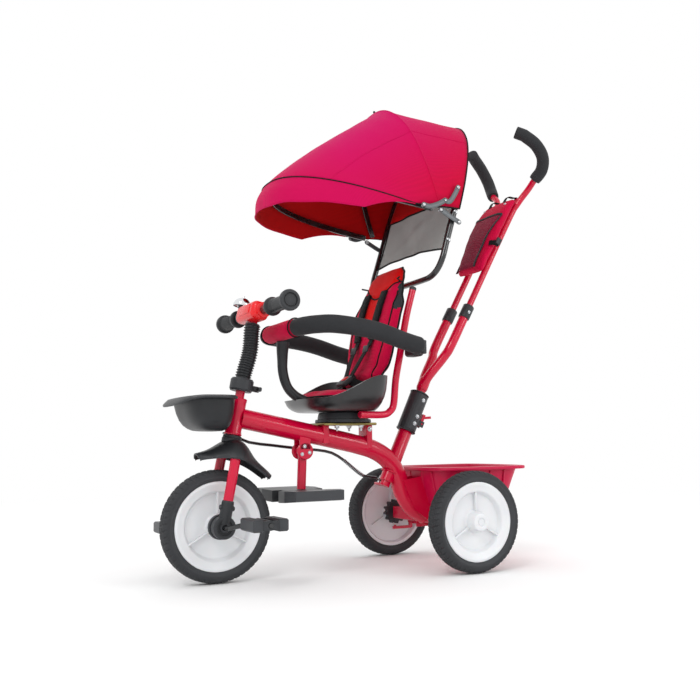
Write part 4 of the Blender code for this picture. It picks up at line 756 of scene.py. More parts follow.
rings = []
for inner in (0, 1):
    levels = [0, 0.06, 0.16, 0.30, 0.48, 0.66, 0.84, 1.0]
    for v in levels if not inner else reversed(levels):
        wall = 0.0034 * inner
        grow = 1 - 0.31 * (1 - v) ** 2.2
        ring = []
        for x, y in rounded(0.130 * grow - wall, 0.095 * (1 - 0.24 * (1 - v) ** 2.2) - wall, 88, 3.6):
            high = rim_height(y / 0.095) * v ** 1.25
            x *= 1 - 0.17 * max(0.0, -y / 0.095) ** 2.5
            grow_lip = 1 + (0.020 if not inner else 0.006) * max(0.0, (v - 0.84) / 0.16)
            x, y = x * grow_lip, y * (1 + (grow_lip - 1) * (y < 0))
            ring.append(spot(x, SEAT_MID + 0.003 * (1 - v) + y,
                             SEAT_BASE + high + (0.0034 * (1 - v) if inner else 0)
                             + (0.0004 if inner and v == 1 else 0)))
        rings.append(ring)
loft(bm, rings)
for side in (1, -1):
    bolt(bm, spot(side * 0.052, SEAT_MID - 0.052, SEAT_BASE + 0.0042), (0, 0, 1), 0.0034, 1)
add("bucket_seat", bm, [gloss_pp, zinc], "seat", "black_plastic", "seat_shell", sharp=48)

# Woven polyester for the soft parts: plain weave, threads about 0.6 mm apart and drawn at 1.6 mm
# so that they show, matt with a soft sheen, and a slow change of shade where it is stretched.


def cloth(name, dark, light, thread=0.0016, sheen=0.25, drift=6.0, bump_by=0.35):
    mat, tree, shader, where = surface(name, Roughness=0.78, Sheen_Weight=sheen, Sheen_Roughness=0.45,
                                       Specular_IOR_Level=0.12)
    threads = []
    for way in ("X", "Y", "Z"):
        threads.append(node(tree, "TexWave", {"Vector": where, "Scale": 0.314 / thread, "Distortion": 0.6,
                                              "Detail": 1.0, "Detail Scale": 2.0},
                            bands_direction=way))
    pair = node(tree, "Math", {0: threads[0].outputs["Fac"], 1: threads[2].outputs["Fac"]},
                operation="MAXIMUM")
    weave = node(tree, "Math", {0: pair.outputs[0], 1: threads[1].outputs["Fac"]}, operation="ADD")
    cloud = node(tree, "TexNoise", {"Vector": where, "Scale": drift, "Detail": 4.0})
    tone = node(tree, "Mix", {0: cloud.outputs["Fac"], 6: linear(dark), 7: linear(light)}, data_type="RGBA")
    low = node(tree, "MapRange", {"Value": weave.outputs[0], "From Min": 0.4, "From Max": 1.6, "To Min": 0.86,
                                  "To Max": 1.05})
    shaded = node(tree, "HueSaturation", {"Value": low.outputs[0], "Color": tone.outputs[2]})
    tree.links.new(shader.inputs["Base Color"], shaded.outputs[0])
    dull = node(tree, "MapRange", {"Value": cloud.outputs["Fac"], "To Min": 0.70, "To Max": 0.88})
    tree.links.new(shader.inputs["Roughness"], dull.outputs[0])
    rise = node(tree, "Bump", {"Strength": bump_by, "Distance": 0.0005, "Height": weave.outputs[0]})
    tree.links.new(shader.inputs["Normal"], rise.outputs[0])
    return mat


crimson_weave = cloth("crimson_polyester", "#BE0036", "#CE0042", sheen=0.06)
red_weave = cloth("red_polyester", "#CC0408", "#E00C0C", sheen=0.06)
grey_weave = cloth("grey_polyester", "#2C2E31", "#3C3F43", sheen=0.1)
# Black webbing and piping: tightly woven nylon with a cross rib every 1.2 mm, slightly shiny.
webbing = cloth("black_nylon_webbing", "#0E0F10", "#1B1C1E", thread=0.0012, sheen=0.06, drift=30.0,
                bump_by=0.6)


def puff(made, pressure, limit, voxel=0.005):
    """Stuff a closed form with air, held within limit of where it began, then keep the result."""
    mod = made.modifiers.new("skin", "REMESH")
    mod.mode, mod.voxel_size = "VOXEL", voxel
    bpy.context.view_layer.update()
    held = bpy.data.meshes.new_from_object(made.evaluated_get(bpy.context.evaluated_depsgraph_get()))
    made.modifiers.remove(mod)
    made.data = held
    start = [v.co.copy() for v in held.vertices]
    mod = made.modifiers.new("stuffing", "CLOTH")
    s = mod.settings
    s.use_pressure, s.uniform_pressure_force, s.quality = True, pressure, 5
    s.tension_stiffness = s.compression_stiffness = 18
    s.bending_stiffness = 0.6
    s.effector_weights.gravity = 0
    mod.point_cache.frame_start, mod.point_cache.frame_end = 1, 20
    for k in range(1, 21):
        scene.frame_set(k)
    blown = bpy.data.meshes.new_from_object(made.evaluated_get(bpy.context.evaluated_depsgraph_get()))
    made.modifiers.remove(mod)
    scene.frame_set(1)
    for v, old, new in zip(held.vertices, start, blown.vertices):
        move = new.co - old
        if move.length > limit:
            move *= limit / move.length
        v.co = old + move
    bpy.data.meshes.remove(blown)
    mod = made.modifiers.new("soft", "SMOOTH")
    mod.factor, mod.iterations = 0.6, 6
    bpy.context.view_layer.update()
    soft = bpy.data.meshes.new_from_object(made.evaluated_get(bpy.context.evaluated_depsgraph_get()))
    made.modifiers.clear()
    made.data = soft
    soft.shade_smooth()
    return soft


def loose(name, bm):
    """An object still to be shaped, before it is given its materials."""
    bmesh.ops.recalc_face_normals(bm, faces=bm.faces)
    mesh = bpy.data.meshes.new(name)
    bm.to_mesh(mesh)
    bm.free()
    made = bpy.data.objects.new(name, mesh)
    scene.collection.objects.link(made)
    return made


def dress(made, mats, body, slot, *stands_for):
    made.data.materials.clear()
    for mat in mats:
        made.data.materials.append(mat)
    made.data.shade_smooth()
    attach(made, body)
    if stands_for:
        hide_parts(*stands_for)


# Seat pad: a thin stuffed cushion of crimson polyester with black piping round its edge.
bm = bmesh.new()
rings = []
for grow, z, slope in ((-0.044, 0.0110, 0.0), (-0.028, 0.0150, 0.0), (-0.020, 0.0250, 0.0),
                       (-0.022, 0.0350, 0.0),
                       (-0.036, 0.0430, 0.0)):
    rings.append([spot(x, SEAT_MID + 0.004 + y, SEAT_BASE + z + slope * y)
                  for x, y in rounded(0.124 + grow, 0.095 + grow, 48, 4)])
loft(bm, rings)
pad = loose("seat_cushion", bm)
puff(pad, 3.0, 0.005, 0.0045)
for v in pad.data.vertices:
    middle = math.exp(-((v.co.x / 0.004) ** 2))
    v.co.z -= 0.0022 * middle if v.co.z > SEAT_BASE + 0.02 else 0
dress(pad, [crimson_weave], "seat", "crimson_cloth", "seat_pad")
bm = bmesh.new()
edge = [spot(x, SEAT_MID + 0.004 + y, SEAT_BASE + 0.0315) for x, y in rounded(0.1035, 0.0745, 72, 4)]
sweep(bm, edge, 0.0020, 10, 0, loop=True)
add("seat_piping", bm, [webbing], "seat", "black_plastic")

# Backrest: a stuffed slip cover over a board, widest at the shoulders, with a red head panel,
# crimson body, grey flanks and black piping sewn into each seam.
BACK_TOP, BACK_T = 0.697, 0.034


def back_line(z):
    """y of the backrest's rear face at height z."""
    pts = [(0.400, -0.1600), (0.432, -0.1560), (0.455, -0.1400), (0.50, -0.1310), (0.57, -0.1150),
           (0.64, -0.0930), (0.71, -0.0660)]
    for (z0, y0), (z1, y1) in zip(pts, pts[1:]):
        if z <= z1:
            return y0 + (y1 - y0) * (z - z0) / (z1 - z0)
    return pts[-1][1]


HALF_BY = [(0, 0.092), (0.05, 0.100), (0.25, 0.112), (0.50, 0.117), (0.64, 0.117), (0.76, 0.099),
           (0.88, 0.085),
           (0.95, 0.077), (1.0, 0.062)]


def half_back(f):
    for (f0, w0), (f1, w1) in zip(HALF_BY, HALF_BY[1:]):
        if f <= f1:
            t = (f - f0) / (f1 - f0)
            return w0 + (w1 - w0) * t * t * (3 - 2 * t)
    return HALF_BY[-1][1]


bm = bmesh.new()
rings = []
for k in range(27):
    f = k / 26
    z = 0.4080 + (BACK_TOP - 0.4100) * f
    half = half_back(f) - 0.004
    thin = 0.35 + 0.65 * min(1, math.sin(math.pi * min(1, max(0, 0.06 + 0.88 * f))) ** 0.35)
    t = (BACK_T - 0.012) * thin
    y = back_line(z) - BACK_T / 2
    ring = []
    for j in range(36):
        a = 2 * math.pi * j / 36
        c, s = math.cos(a), math.sin(a)
        ring.append(spot(half * math.copysign(abs(c) ** 0.5, c),
                         y + t / 2 * math.copysign(abs(s) ** 0.8, s), z))
    rings.append(ring)
loft(bm, rings)
rest = loose("backrest_cushion", bm)
puff(rest, 3.5, 0.006, 0.0048)


def seam_x(z, side):
    """The piped seam between the body and a flank: it swings in at the waist."""
    f = (z - 0.440) / (BACK_TOP - 0.440)
    return side * (0.078 - 0.012 * math.cos(2 * math.pi * f))


HEAD_SEAM = 0.640


def head_seam(x):
    return HEAD_SEAM - 0.020 * math.cos(math.pi * min(1, abs(x) / 0.10))


def sink(distance, width, deep):
    """How far a sewn seam pulls the cover in."""
    return deep * math.exp(-(distance / width) ** 2)


for v in rest.data.vertices:
    x, z = v.co.x, v.co.z
    if v.co.y < back_line(z) + AXLE_Y - BACK_T / 2:
        pull = sink(abs(abs(x) - abs(seam_x(z, 1))), 0.006, 0.0030) if z < head_seam(x) else 0
        pull += sink(abs(z - head_seam(x)), 0.006, 0.0030)
        pull += sink(abs(z - 0.545), 0.006, 0.0016) if abs(x) < abs(seam_x(z, 1)) and z < HEAD_SEAM else 0
        v.co.y += pull
        v.co.y += 0.0011 * noise.noise(Vector((x * 34, z * 60, 2.0)))
dress(rest, [crimson_weave, red_weave, grey_weave], "seat", "crimson_cloth", "backrest_pad")
for f in rest.data.polygons:
    x, y, z = f.center
    if z > head_seam(x):
        f.material_index = 1
    elif abs(x) > abs(seam_x(z, 1)):
        f.material_index = 2 if z > 0.585 else 0
    elif abs(x) < 0.030 and z > 0.545:
        f.material_index = 1
tree_of_rest = BVHTree.FromObject(rest, bpy.context.evaluated_depsgraph_get())


def on_cover(x, z, out=0.0006):
    """A point on the front of the backrest cover."""
    hit = tree_of_rest.ray_cast(Vector((x, AXLE_Y - 0.40, z)), Vector((0, 1, 0)))[0]
    return Vector((x, (hit.y if hit else back_line(z) + AXLE_Y - BACK_T) - out, z))


bm = bmesh.new()
for side in (1, -1):
    sweep(bm, [on_cover(seam_x(z, side), z) for z in (0.424 + 0.0108 * k for k in range(20))], 0.0019, 10)
    sweep(bm, [on_cover(side * (0.030 + 0.018 * math.sin(math.pi * k / 16) ** 2), 0.545 + 0.0050 * k)
               for k in range(15)], 0.0016, 10)
sweep(bm, [on_cover(x, head_seam(x)) for x in (-0.092 + 0.0092 * k for k in range(21))], 0.0019, 10)
edge = []
for k in range(64):
    f = k / 63
    z = 0.420 + (BACK_TOP - 0.4280) * f
    edge.append((half_back(f) - 0.0015, z))
rim = [spot(x, back_line(z) - BACK_T / 2 - 0.001, z) for x, z in edge]
rim += [spot(-x, back_line(z) - BACK_T / 2 - 0.001, z) for x, z in reversed(edge)]
sweep(bm, rim, 0.0024, 10, 0)
add("backrest_piping", bm, [webbing], "seat", "black_plastic")

# Harness: five flat nylon straps, 20 mm wide, padded at the shoulders, meeting in a moulded buckle
# that lies on the cushion. Shoulder straps come through the cover under the head panel.


def ribbon(bm, path, half, thick, mat=0, across=Vector((1, 0, 0))):
    """A flat strap along a path, its width kept across."""
    rings = []
    for i, p in enumerate(path):
        t = (path[min(i + 1, len(path) - 1)] - path[max(i - 1, 0)]).normalized()
        side = (across - t * across.dot(t)).normalized()
        out = t.cross(side) * thick / 2
        rings.append([p + side * half + out * 0.6, p + side * half * 0.86 + out, p - side * half * 0.86 + out,
                      p - side * half + out * 0.6, p - side * half - out * 0.6, p - side * half * 0.86 - out,
                      p + side * half * 0.86 - out, p + side * half - out * 0.6])
    loft(bm, rings, mat)


bm = bmesh.new()
for side in (1, -1):
    line = [(0.041, 0.634), (0.040, 0.600), (0.038, 0.560), (0.034, 0.520)]
    run = [on_cover(side * x, z, 0.0032) for x, z in line]
    run += [spot(side * 0.026, -0.1870, 0.4760), spot(side * 0.012, -0.2080, 0.4330)]
    ribbon(bm, curve(run, 6), 0.0095, 0.0020)
    ribbon(bm, curve([p - Vector((0, 0.0022, 0)) for p in run[:4]], 6), 0.0135, 0.0055)
    ribbon(bm, curve([spot(side * 0.016, -0.2090, 0.4240), spot(side * 0.050, -0.1960, 0.4120),
                      spot(side * 0.078, -0.1780, 0.4060)], 6), 0.0095, 0.0020, across=Vector((0, 0.4, 1)))
    block(bm, (0.024, 0.004, 0.016), Matrix.Translation(run[3].lerp(run[4], 0.5) + Vector((0, -0.002, 0))) @
          Matrix.Rotation(-0.25, 4, "X"), 0.0014, 3, 1)
ribbon(bm, curve([spot(0, -0.2160, 0.4200), spot(0, -0.2420, 0.4040), spot(0, -0.2700, 0.3990),
                  spot(0, -0.2860, 0.3900)], 6), 0.0095, 0.0020)
buckle_at = Matrix.Translation(spot(0, -0.2130, 0.4250)) @ Matrix.Rotation(-0.95, 4, "X")
block(bm, (0.042, 0.012, 0.038), buckle_at, 0.0040, 4, 1)
block(bm, (0.018, 0.004, 0.014), buckle_at @ Matrix.Translation((0, -0.0062, 0)), 0.0016, 3, 2)
add("harness_straps", bm, [webbing, black_pp, red_abs], "seat", "black_plastic", "harness", sharp=50)

# Guard ring: steel hoop in thick extruded foam sleeves that swing open, a stuffed crimson cover
# at the front, and a black moulded post down to the seat.
# Extruded NBR foam: charcoal, velvety, finely pitted skin with faint lengthwise drag marks.
nbr, tree, shader, where = surface("nbr_foam", Roughness=0.8, Specular_IOR_Level=0.25, Sheen_Weight=0.06)
pits = node(tree, "TexVoronoi", {"Vector": where, "Scale": 520.0})
cloud = node(tree, "TexNoise", {"Vector": where, "Scale": 26.0, "Detail": 6.0})
tone = node(tree, "Mix", {0: cloud.outputs["Fac"], 6: linear("#1F2022"), 7: linear("#303134")},
            data_type="RGBA")
tree.links.new(shader.inputs["Base Color"], tone.outputs[2])
dull = node(tree, "MapRange", {"Value": cloud.outputs["Fac"], "To Min": 0.66, "To Max": 0.88})
tree.links.new(shader.inputs["Roughness"], dull.outputs[0])
height = node(tree, "Math", {0: pits.outputs["Distance"], 1: cloud.outputs["Fac"]}, operation="ADD")
bump = node(tree, "Bump", {"Strength": 0.3, "Distance": 0.0006, "Height": height.outputs[0]})
tree.links.new(shader.inputs["Normal"], bump.outputs[0])
RING_Z, RING_R = 0.532, 0.0195
bm = bmesh.new()
post = curve([spot(0, y, z) for y, z in ((-0.3020, 0.3680), (-0.3200, 0.3800), (-0.3400, 0.3905),
                                         (-0.3580, 0.4090),
                                         (-0.3680, 0.4400), (-0.3700, 0.4780), (-0.3690, 0.5080))], 6)
sweep(bm, post, [0.0105 + 0.0005 * max(0, 8 - k) + 0.0004 * max(0, k - 26) for k in range(len(post))], 28)
sweep(bm, [p + Vector((0, -0.0100, 0)) for p in post[14:33]], 0.0022, 10)
add("guard_stalk", bm, [black_pp], "seat", "black_plastic", "guard_post")
for side, label in ((1, "left"), (-1, "right")):
    bm = bmesh.new()
    block(bm, (0.044, 0.030, 0.036), Matrix.Translation(spot(side * 0.1150, -0.0990, 0.4925)), 0.0080, 5)
    block(bm, (0.034, 0.018, 0.022), Matrix.Translation(spot(side * 0.1440, -0.1010, 0.4925)), 0.0060, 5)
    turn(bm, [(0, 0.0150), (0.0060, 0.0150), (0.0075, 0.0138), (0.0075, -0.0138), (0.0060, -0.0150),
              (0, -0.0150)],
         spot(side * 0.1560, -0.1000, 0.4925), (0, 0, 1), 28)
    bolt(bm, spot(side * 0.1150, -0.0838, 0.4925), (0, 1, 0), 0.0036, 1)
    add(f"guard_hinge_{label}", bm, [black_pp, zinc], "seat", "black_plastic", f"guard_bracket_{label}",
        sharp=40)
    bm = bmesh.new()
    pts = [(0.0792, -0.3688, RING_Z), (0.089, -0.3672, RING_Z), (0.106, -0.3610, RING_Z + 0.001),
           (0.128, -0.3450, RING_Z + 0.002), (0.149, -0.3150, RING_Z + 0.002),
           (0.157, -0.2600, RING_Z - 0.003),
           (0.162, -0.2100, RING_Z - 0.012), (0.162, -0.1580, RING_Z - 0.027),
           (0.160, -0.1240, RING_Z - 0.0350),
           (0.1585, -0.1040, RING_Z - 0.0385)]
    path = curve([spot(side * x, y, z) for x, y, z in pts], 7)
    n = len(path)
    sweep(bm, path, [RING_R * ((0.90, 0.975)[k] if k < 2 else (0.55, 0.78, 0.91, 0.975)[n - 1 - k]
                               if k > n - 5
                               else 1.0 + 0.012 * noise.noise(path[k] * 22)) for k in range(n)], 36)
    sleeve = add(f"guard_sleeve_{label}", bm, [nbr], f"guard_arm_{label}", "grey_foam",
                 f"guard_arm_{label}", sharp=60)
bm = bmesh.new()
ring_mid = [(0.0775, -0.3690, RING_Z), (0.045, -0.3745, RING_Z - 0.001), (0, -0.3765, RING_Z - 0.002),
            (-0.045, -0.3745, RING_Z - 0.001), (-0.0775, -0.3690, RING_Z)]
path = curve([spot(*p) for p in ring_mid], 8)
sweep(bm, path, [0.0178 if k in (0, len(path) - 1) else 0.0192 if k in (1, len(path) - 2) else 0.0202
                 for k in range(len(path))], 30)
wrap = loose("guard_wrap", bm)
puff(wrap, 2.5, 0.003, 0.0042)
for v in wrap.data.vertices:
    v.co += Vector((0, 0, 0.0008 * noise.noise(Vector((v.co.x * 120, v.co.z * 40, 1)))))
dress(wrap, [crimson_weave], "seat", "crimson_cloth", "guard_cover")
bm = bmesh.new()
for x in (0.0745, -0.0745):
    quat = Vector((1, 0.14 if x > 0 else -0.14, 0)).to_track_quat("Z", "Y")
    sweep(bm, [spot(x, -0.3696, RING_Z) + quat @ Vector((math.cos(a) * 0.0208, math.sin(a) * 0.0208, 0))
               for a in (2 * math.pi * k / 48 for k in range(48))], 0.0014, 8, 0, loop=True)
add("guard_wrap_binding", bm, [webbing], "seat", "black_plastic")

# Canopy frame: one black enamelled steel hoop behind the seat, closed below, and two hinged bows.
HP = Matrix.Translation(spot(0, -0.021, 0.788)) @ Matrix.Rotation(-math.radians(17.3), 4, "X")
HOOP_HALF, HOOP_R, HOOP_REACH, CANOPY_HALF = 0.165, 0.007, 0.275, 0.1745


def arch(half, reach, power, n, low=0.0):
    """Points (x, height) of a rounded arch from +half to -half."""
    out = []
    for i in range(n + 1):
        a = math.pi * (low + (1 - 2 * low) * i / n)
        c, s = math.cos(a), math.sin(a)
        out.append((half * math.copysign(abs(c) ** (2 / power), c), reach * abs(s) ** (2 / power)))
    return out


def bow(base, apex, half, power, n, low=0.0):
    foot, top = spot(0, *base), spot(0, *apex)
    return [foot + Vector((x, 0, 0)) + (top - foot) * h for x, h in arch(half, 1.0, power, n, low)]


bm = bmesh.new()
under = [(-HOOP_HALF, -0.060), (-HOOP_HALF, -0.095), (-HOOP_HALF + 0.010, -0.122),
         (-HOOP_HALF + 0.034, -0.137), (-0.090, -0.140), (0, -0.140)]
half_loop = [(-HOOP_HALF, -0.030)] + under
lower = curve([Vector((x, 0, h)) for x, h in half_loop], 6)
lower = [(p.x, p.z) for p in lower]
loop = arch(HOOP_HALF, HOOP_REACH, 2.6, 56) + lower + [(-x, h) for x, h in reversed(lower[:-1])]
sweep(bm, [HP @ Vector((x, 0, h)) for x, h in loop], HOOP_R, 20, 0, loop=True)
for side in (1, -1):
    for h in (-0.052, 0.018):
        bolt(bm, HP @ Vector((side * HOOP_HALF, HOOP_R - 0.001, h)), HP.to_3x3() @ Vector((0, 1, 0)),
             0.0026, 1)
        bolt(bm, HP @ Vector((side * (HOOP_HALF + HOOP_R - 0.001), 0, h)), (side, 0, 0), 0.0026, 1)
add("steel_hoop", bm, [black_enamel, zinc], "seat", "black_paint", "canopy_hoop")
for name, base, apex, power, body, node_name in (
        ("front_bow", (-0.069, 0.8075), (-0.3840, 0.8480), 2.4, "canopy_front", "canopy_bow_front"),
        ("middle_bow", (-0.050, 0.8080), (-0.1320, 1.0560), 2.5, "canopy_middle", "canopy_bow_middle")):
    bm = bmesh.new()
    line = bow(base, apex, HOOP_HALF - 0.002, power, 60, 0.002)
    plane = Vector((1, 0, 0)).cross(line[30] - line[0]).normalized()
    ribbon(bm, line, 0.0068, 0.0050, across=plane)
    for end in (line[0], line[-1]):
        bolt(bm, end + Vector((math.copysign(0.0042, end.x), 0, 0.004)),
             (math.copysign(1, end.x), 0, 0), 0.0026, 1)
    add(name, bm, [black_enamel, zinc], body, "black_paint", node_name)

# Canopy: crimson coated polyester outside with a red lining, pulled over the hoop and the bows,
# piped in grey at the back. It runs on as one sheet to the visor's seam and folds like bellows.
# Coated polyester: smooth fine weave, with painted light: tinted magenta towards the front and top, where it
# is lit.
shell_weave = cloth("coated_polyester_crimson", "#C40038", "#CC0050", thread=0.0014, sheen=0.04, drift=3.0,
                    bump_by=0.18)
tree = shell_weave.node_tree
tone = next(n for n in tree.nodes if n.bl_idname == "ShaderNodeMix")
# painted light: the canopy's colour goes from crimson to magenta towards its front and top, where the light
# falls
spread = node(tree, "SeparateXYZ", {0: next(n for n in tree.nodes
                                            if n.bl_idname == "ShaderNodeTexCoord").outputs["Object"]})
lit_front_share = node(tree, "MapRange", {"Value": spread.outputs["Y"], "From Min": AXLE_Y + 0.02,
                                  "From Max": AXLE_Y - 0.26,
                                  "To Min": 0.0, "To Max": 1.0})
high = node(tree, "MapRange", {"Value": spread.outputs["Z"], "From Min": 0.86, "From Max": 1.06})
both = node(tree, "Math", {0: lit_front_share.outputs[0], 1: high.outputs[0]}, operation="ADD")
lit_share = node(tree, "Math", {0: both.outputs[0], 1: 0.55}, operation="MULTIPLY")
painted_light_magenta = node(tree, "Mix", {0: lit_share.outputs[0], 6: linear("#BE002C"), 7: linear("#C00060")},
               data_type="RGBA")
tree.links.new(tone.inputs[7], painted_light_magenta.outputs[2])
tree.links.new(tone.inputs[6], painted_light_magenta.outputs[2])
lining = cloth("red_lining", "#B40A0C", "#C81014", thread=0.0014, sheen=0.04, drift=5.0, bump_by=0.15)

SECTIONS = [((-0.009, 0.803), (0.0640, 1.0560), 2.6), ((-0.032, 0.803), (-0.032, 1.0640), 2.6),
            ((-0.052, 0.803), (-0.118, 1.0715), 2.5), ((-0.056, 0.803), (-0.136, 1.0715), 2.4),
            ((-0.060, 0.803), (-0.152, 1.0615), 2.4), ((-0.073, 0.805), (-0.222, 1.0160), 2.5),
            ((-0.090, 0.807), (-0.308, 0.9540), 2.5), ((-0.105, 0.808), (-0.368, 0.9020), 2.4),
            ((-0.116, 0.809), (-0.403, 0.8660), 2.4)]
VISOR = [((-0.1172, 0.8085), (-0.4044, 0.8640), 2.4), ((-0.130, 0.796), (-0.4190, 0.8360), 2.4),
         ((-0.144, 0.782), (-0.4210, 0.8030), 2.4)]
COLUMNS = 72


def between(sections, steps):
    """Sections smoothed along the canopy: a list of (base, apex, power)."""
    flat = [Vector((*b, *a)) for b, a, _ in sections]
    power = [p for _, _, p in sections]
    ends = [2 * flat[0] - flat[1]] + flat + [2 * flat[-1] - flat[-2]]
    out = []
    for i in range(len(sections) - 1):
        a, b, c, d = ends[i:i + 4]
        for k in range(steps + (i == len(sections) - 2)):
            t = k / steps
            v = 0.5 * (2 * b + (c - a) * t + (2 * a - 5 * b + 4 * c - d) * t * t
                       + (3 * b - a - 3 * c + d) * t ** 3)
            out.append(((v[0], v[1]), (v[2], v[3]), power[i] + (power[i + 1] - power[i]) * t))
    return out


def skin(bm, rows, mat=0):
    grid = [[bm.verts.new(p) for p in row] for row in rows]
    for a, b in zip(grid, grid[1:]):
        for j in range(len(a) - 1):
            bm.faces.new((a[j], a[j + 1], b[j + 1], b[j])).material_index = mat
    return grid


def lined(made, thick, inner_mat):
    """Give a sheet its thickness, towards the inside, with the lining on the inner face."""
    mod = made.modifiers.new("lining", "SOLIDIFY")
    mod.thickness, mod.offset = thick, -1
    mod.material_offset = inner_mat
    bpy.context.view_layer.update()
    done = bpy.data.meshes.new_from_object(made.evaluated_get(bpy.context.evaluated_depsgraph_get()))
    made.modifiers.clear()
    made.data = done
    done.shade_smooth()


rows = []
fine = between(SECTIONS, 7)
for i, (base, apex, power) in enumerate(fine):
    row = bow(base, apex, CANOPY_HALF - 0.0010, power, COLUMNS, 0.004)
    u = i / (len(fine) - 1)
    # slack between the hoop (u 0), the middle bow (u 0.375) and the front bow (u 0.95)
    gap = (math.sin(math.pi * u / 0.375) if u < 0.375 else
           math.sin(math.pi * (u - 0.375) / 0.575) if u < 0.95 else 0)
    for j, p in enumerate(row):
        s = math.sin(math.pi * j / COLUMNS)
        inward = (spot(0, -0.10, 0.86) - p).normalized()
        side_on = abs(math.cos(math.pi * j / COLUMNS))
        sag = 0.0048 * max(0, gap) * s ** 0.5
        sag += 0.0022 * noise.noise(Vector((p.x * 7, (p.y + p.z) * 16, 4.0))) * (0.3 + side_on) * s
        sag += 0.0014 * math.sin(46 * p.z + 30 * p.y + 9 * abs(p.x)) * side_on ** 3 * max(0, gap) * s
        row[j] = p + inward * sag
    rows.append(row)
bm = bmesh.new()
skin(bm, rows)
bmesh.ops.recalc_face_normals(bm, faces=bm.faces)
canopy = loose("canopy_shell", bm)
canopy.data.materials.append(shell_weave)
canopy.data.materials.append(lining)
lined(canopy, 0.0016, 1)
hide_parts("canopy_cloth")
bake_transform(canopy)
trims = []
bm = bmesh.new()
sweep(bm, [p + (spot(0, -0.1, 0.86) - p).normalized() * -0.0006 for p in rows[0]], 0.0016, 10)
edge_low = [row[0] for row in rows]
edge_far = [row[-1] for row in rows]
for line in (edge_low, edge_far):
    sweep(bm, line, 0.0016, 8)
trims.append(loose("canopy_piping", bm))
bm = bmesh.new()
sweep(bm, rows[21], 0.0011, 8)
for j in (COLUMNS // 2 - 20, COLUMNS // 2 + 20):
    sweep(bm, [row[j] for row in rows], 0.0009, 8)
trims.append(loose("canopy_seams", bm))
for trim, mat in zip(trims, (webbing, shell_weave)):
    trim.data.materials.append(mat)
    trim.data.shade_smooth()
    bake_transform(trim)

# Visor: a stiffened crescent sewn to the canopy's front edge and turned down over the brow.
rows = []
fine = between(VISOR, 8)
seam = bow(*fine[0][:2], CANOPY_HALF, fine[0][2], COLUMNS, 0.004)
for i, (base, apex, power) in enumerate(fine):
    u = i / (len(fine) - 1)
    full = bow(base, apex, CANOPY_HALF + 0.002 * u, power, COLUMNS, 0.004)
    row = []
    for j, (p, q) in enumerate(zip(seam, full)):
        s = math.sin(math.pi * j / COLUMNS)
        keep = min(1, (s / 0.30) ** 1.3)
        row.append(p.lerp(q, keep) + Vector((0, 0, 0.0012 * math.sin(j * 0.55) * u * s)))
    rows.append(row)
bm = bmesh.new()
skin(bm, rows)
visor = loose("visor", bm)
visor.data.materials.append(shell_weave)
visor.data.materials.append(lining)
lined(visor, 0.0016, 1)
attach(visor, "canopy_front")
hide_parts("canopy_visor")
bm = bmesh.new()
sweep(bm, rows[-1], 0.0013, 8)
hem = add("visor_hem", bm, [shell_weave], "canopy_front", "crimson_cloth")
bm = bmesh.new()
sweep(bm, [p + Vector((0, -0.0004, 0.0008)) for p in rows[0]], 0.0013, 8)
seam_cord = add("visor_seam_cord", bm, [webbing], "canopy_front", "black_plastic")

# Back panel and window: the canopy closes behind with a lined panel over a grey polyester net,
# bound in black and laced round the hoop's uprights, with loose folds across it.
# Warp-knitted net: holes 1.5 mm across, drawn at 3 mm so that they show; light passes through.
net, tree, shader, where = surface("warp_knitted_net", Roughness=0.85, Specular_IOR_Level=0.2)
turned_to = node(tree, "Mapping", {"Vector": where, "Rotation": (0.0, math.radians(45), 0.0)})
lines = [node(tree, "TexWave", {"Vector": turned_to.outputs[0], "Scale": 0.314 / 0.003}, bands_direction=way)
         for way in ("X", "Z")]
thread = node(tree, "Math", {0: lines[0].outputs["Fac"], 1: lines[1].outputs["Fac"]}, operation="MAXIMUM")
opening = node(tree, "MapRange", {"Value": thread.outputs[0], "From Min": 0.45, "From Max": 0.62,
                                  "To Min": 0.62,
                                  "To Max": 1.0})
tree.links.new(shader.inputs["Alpha"], opening.outputs[0])
cloud = node(tree, "TexNoise", {"Vector": where, "Scale": 20.0, "Detail": 3.0})
tone = node(tree, "Mix", {0: cloud.outputs["Fac"], 6: linear("#6E706D"), 7: linear("#8A8C88")},
            data_type="RGBA")
tree.links.new(shader.inputs["Base Color"], tone.outputs[2])
bump = node(tree, "Bump", {"Strength": 0.5, "Distance": 0.0006, "Height": thread.outputs[0]})
tree.links.new(shader.inputs["Normal"], bump.outputs[0])
w_split, SPLIT, low_h = HOOP_HALF - HOOP_R - 0.0022, 0.064, -0.064
rows = []
for i in range(15):
    v = i / 14
    row = []
    for j in range(41):
        x = -1 + j / 20
        half = (HOOP_HALF - HOOP_R - 0.0015) * (1
                                                - abs(max(0,
                                                          (SPLIT
                                                           + (HOOP_REACH - HOOP_R - 0.0015 - SPLIT) * v) /
                                                (HOOP_REACH - HOOP_R - 0.0015))) ** 2.6) ** (1 / 2.6)
        half = max(half, 0.002)
        h = SPLIT + (HOOP_REACH - HOOP_R - 0.0015 - SPLIT) * v
        deep = 0.0030 * (1 - x * x) * math.sin(math.pi * v) + 0.0010 * noise.noise(Vector((x * 3, v * 5, 7)))
        row.append(HP @ Vector((x * half, deep, h)))
    rows.append(row)
bm = bmesh.new()
skin(bm, rows)
back_panel = loose("canopy_back_panel", bm)
back_panel.data.materials.append(shell_weave)
back_panel.data.materials.append(lining)
lined(back_panel, 0.0014, 1)
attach(back_panel, "seat")
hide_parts("canopy_back")
rows = []
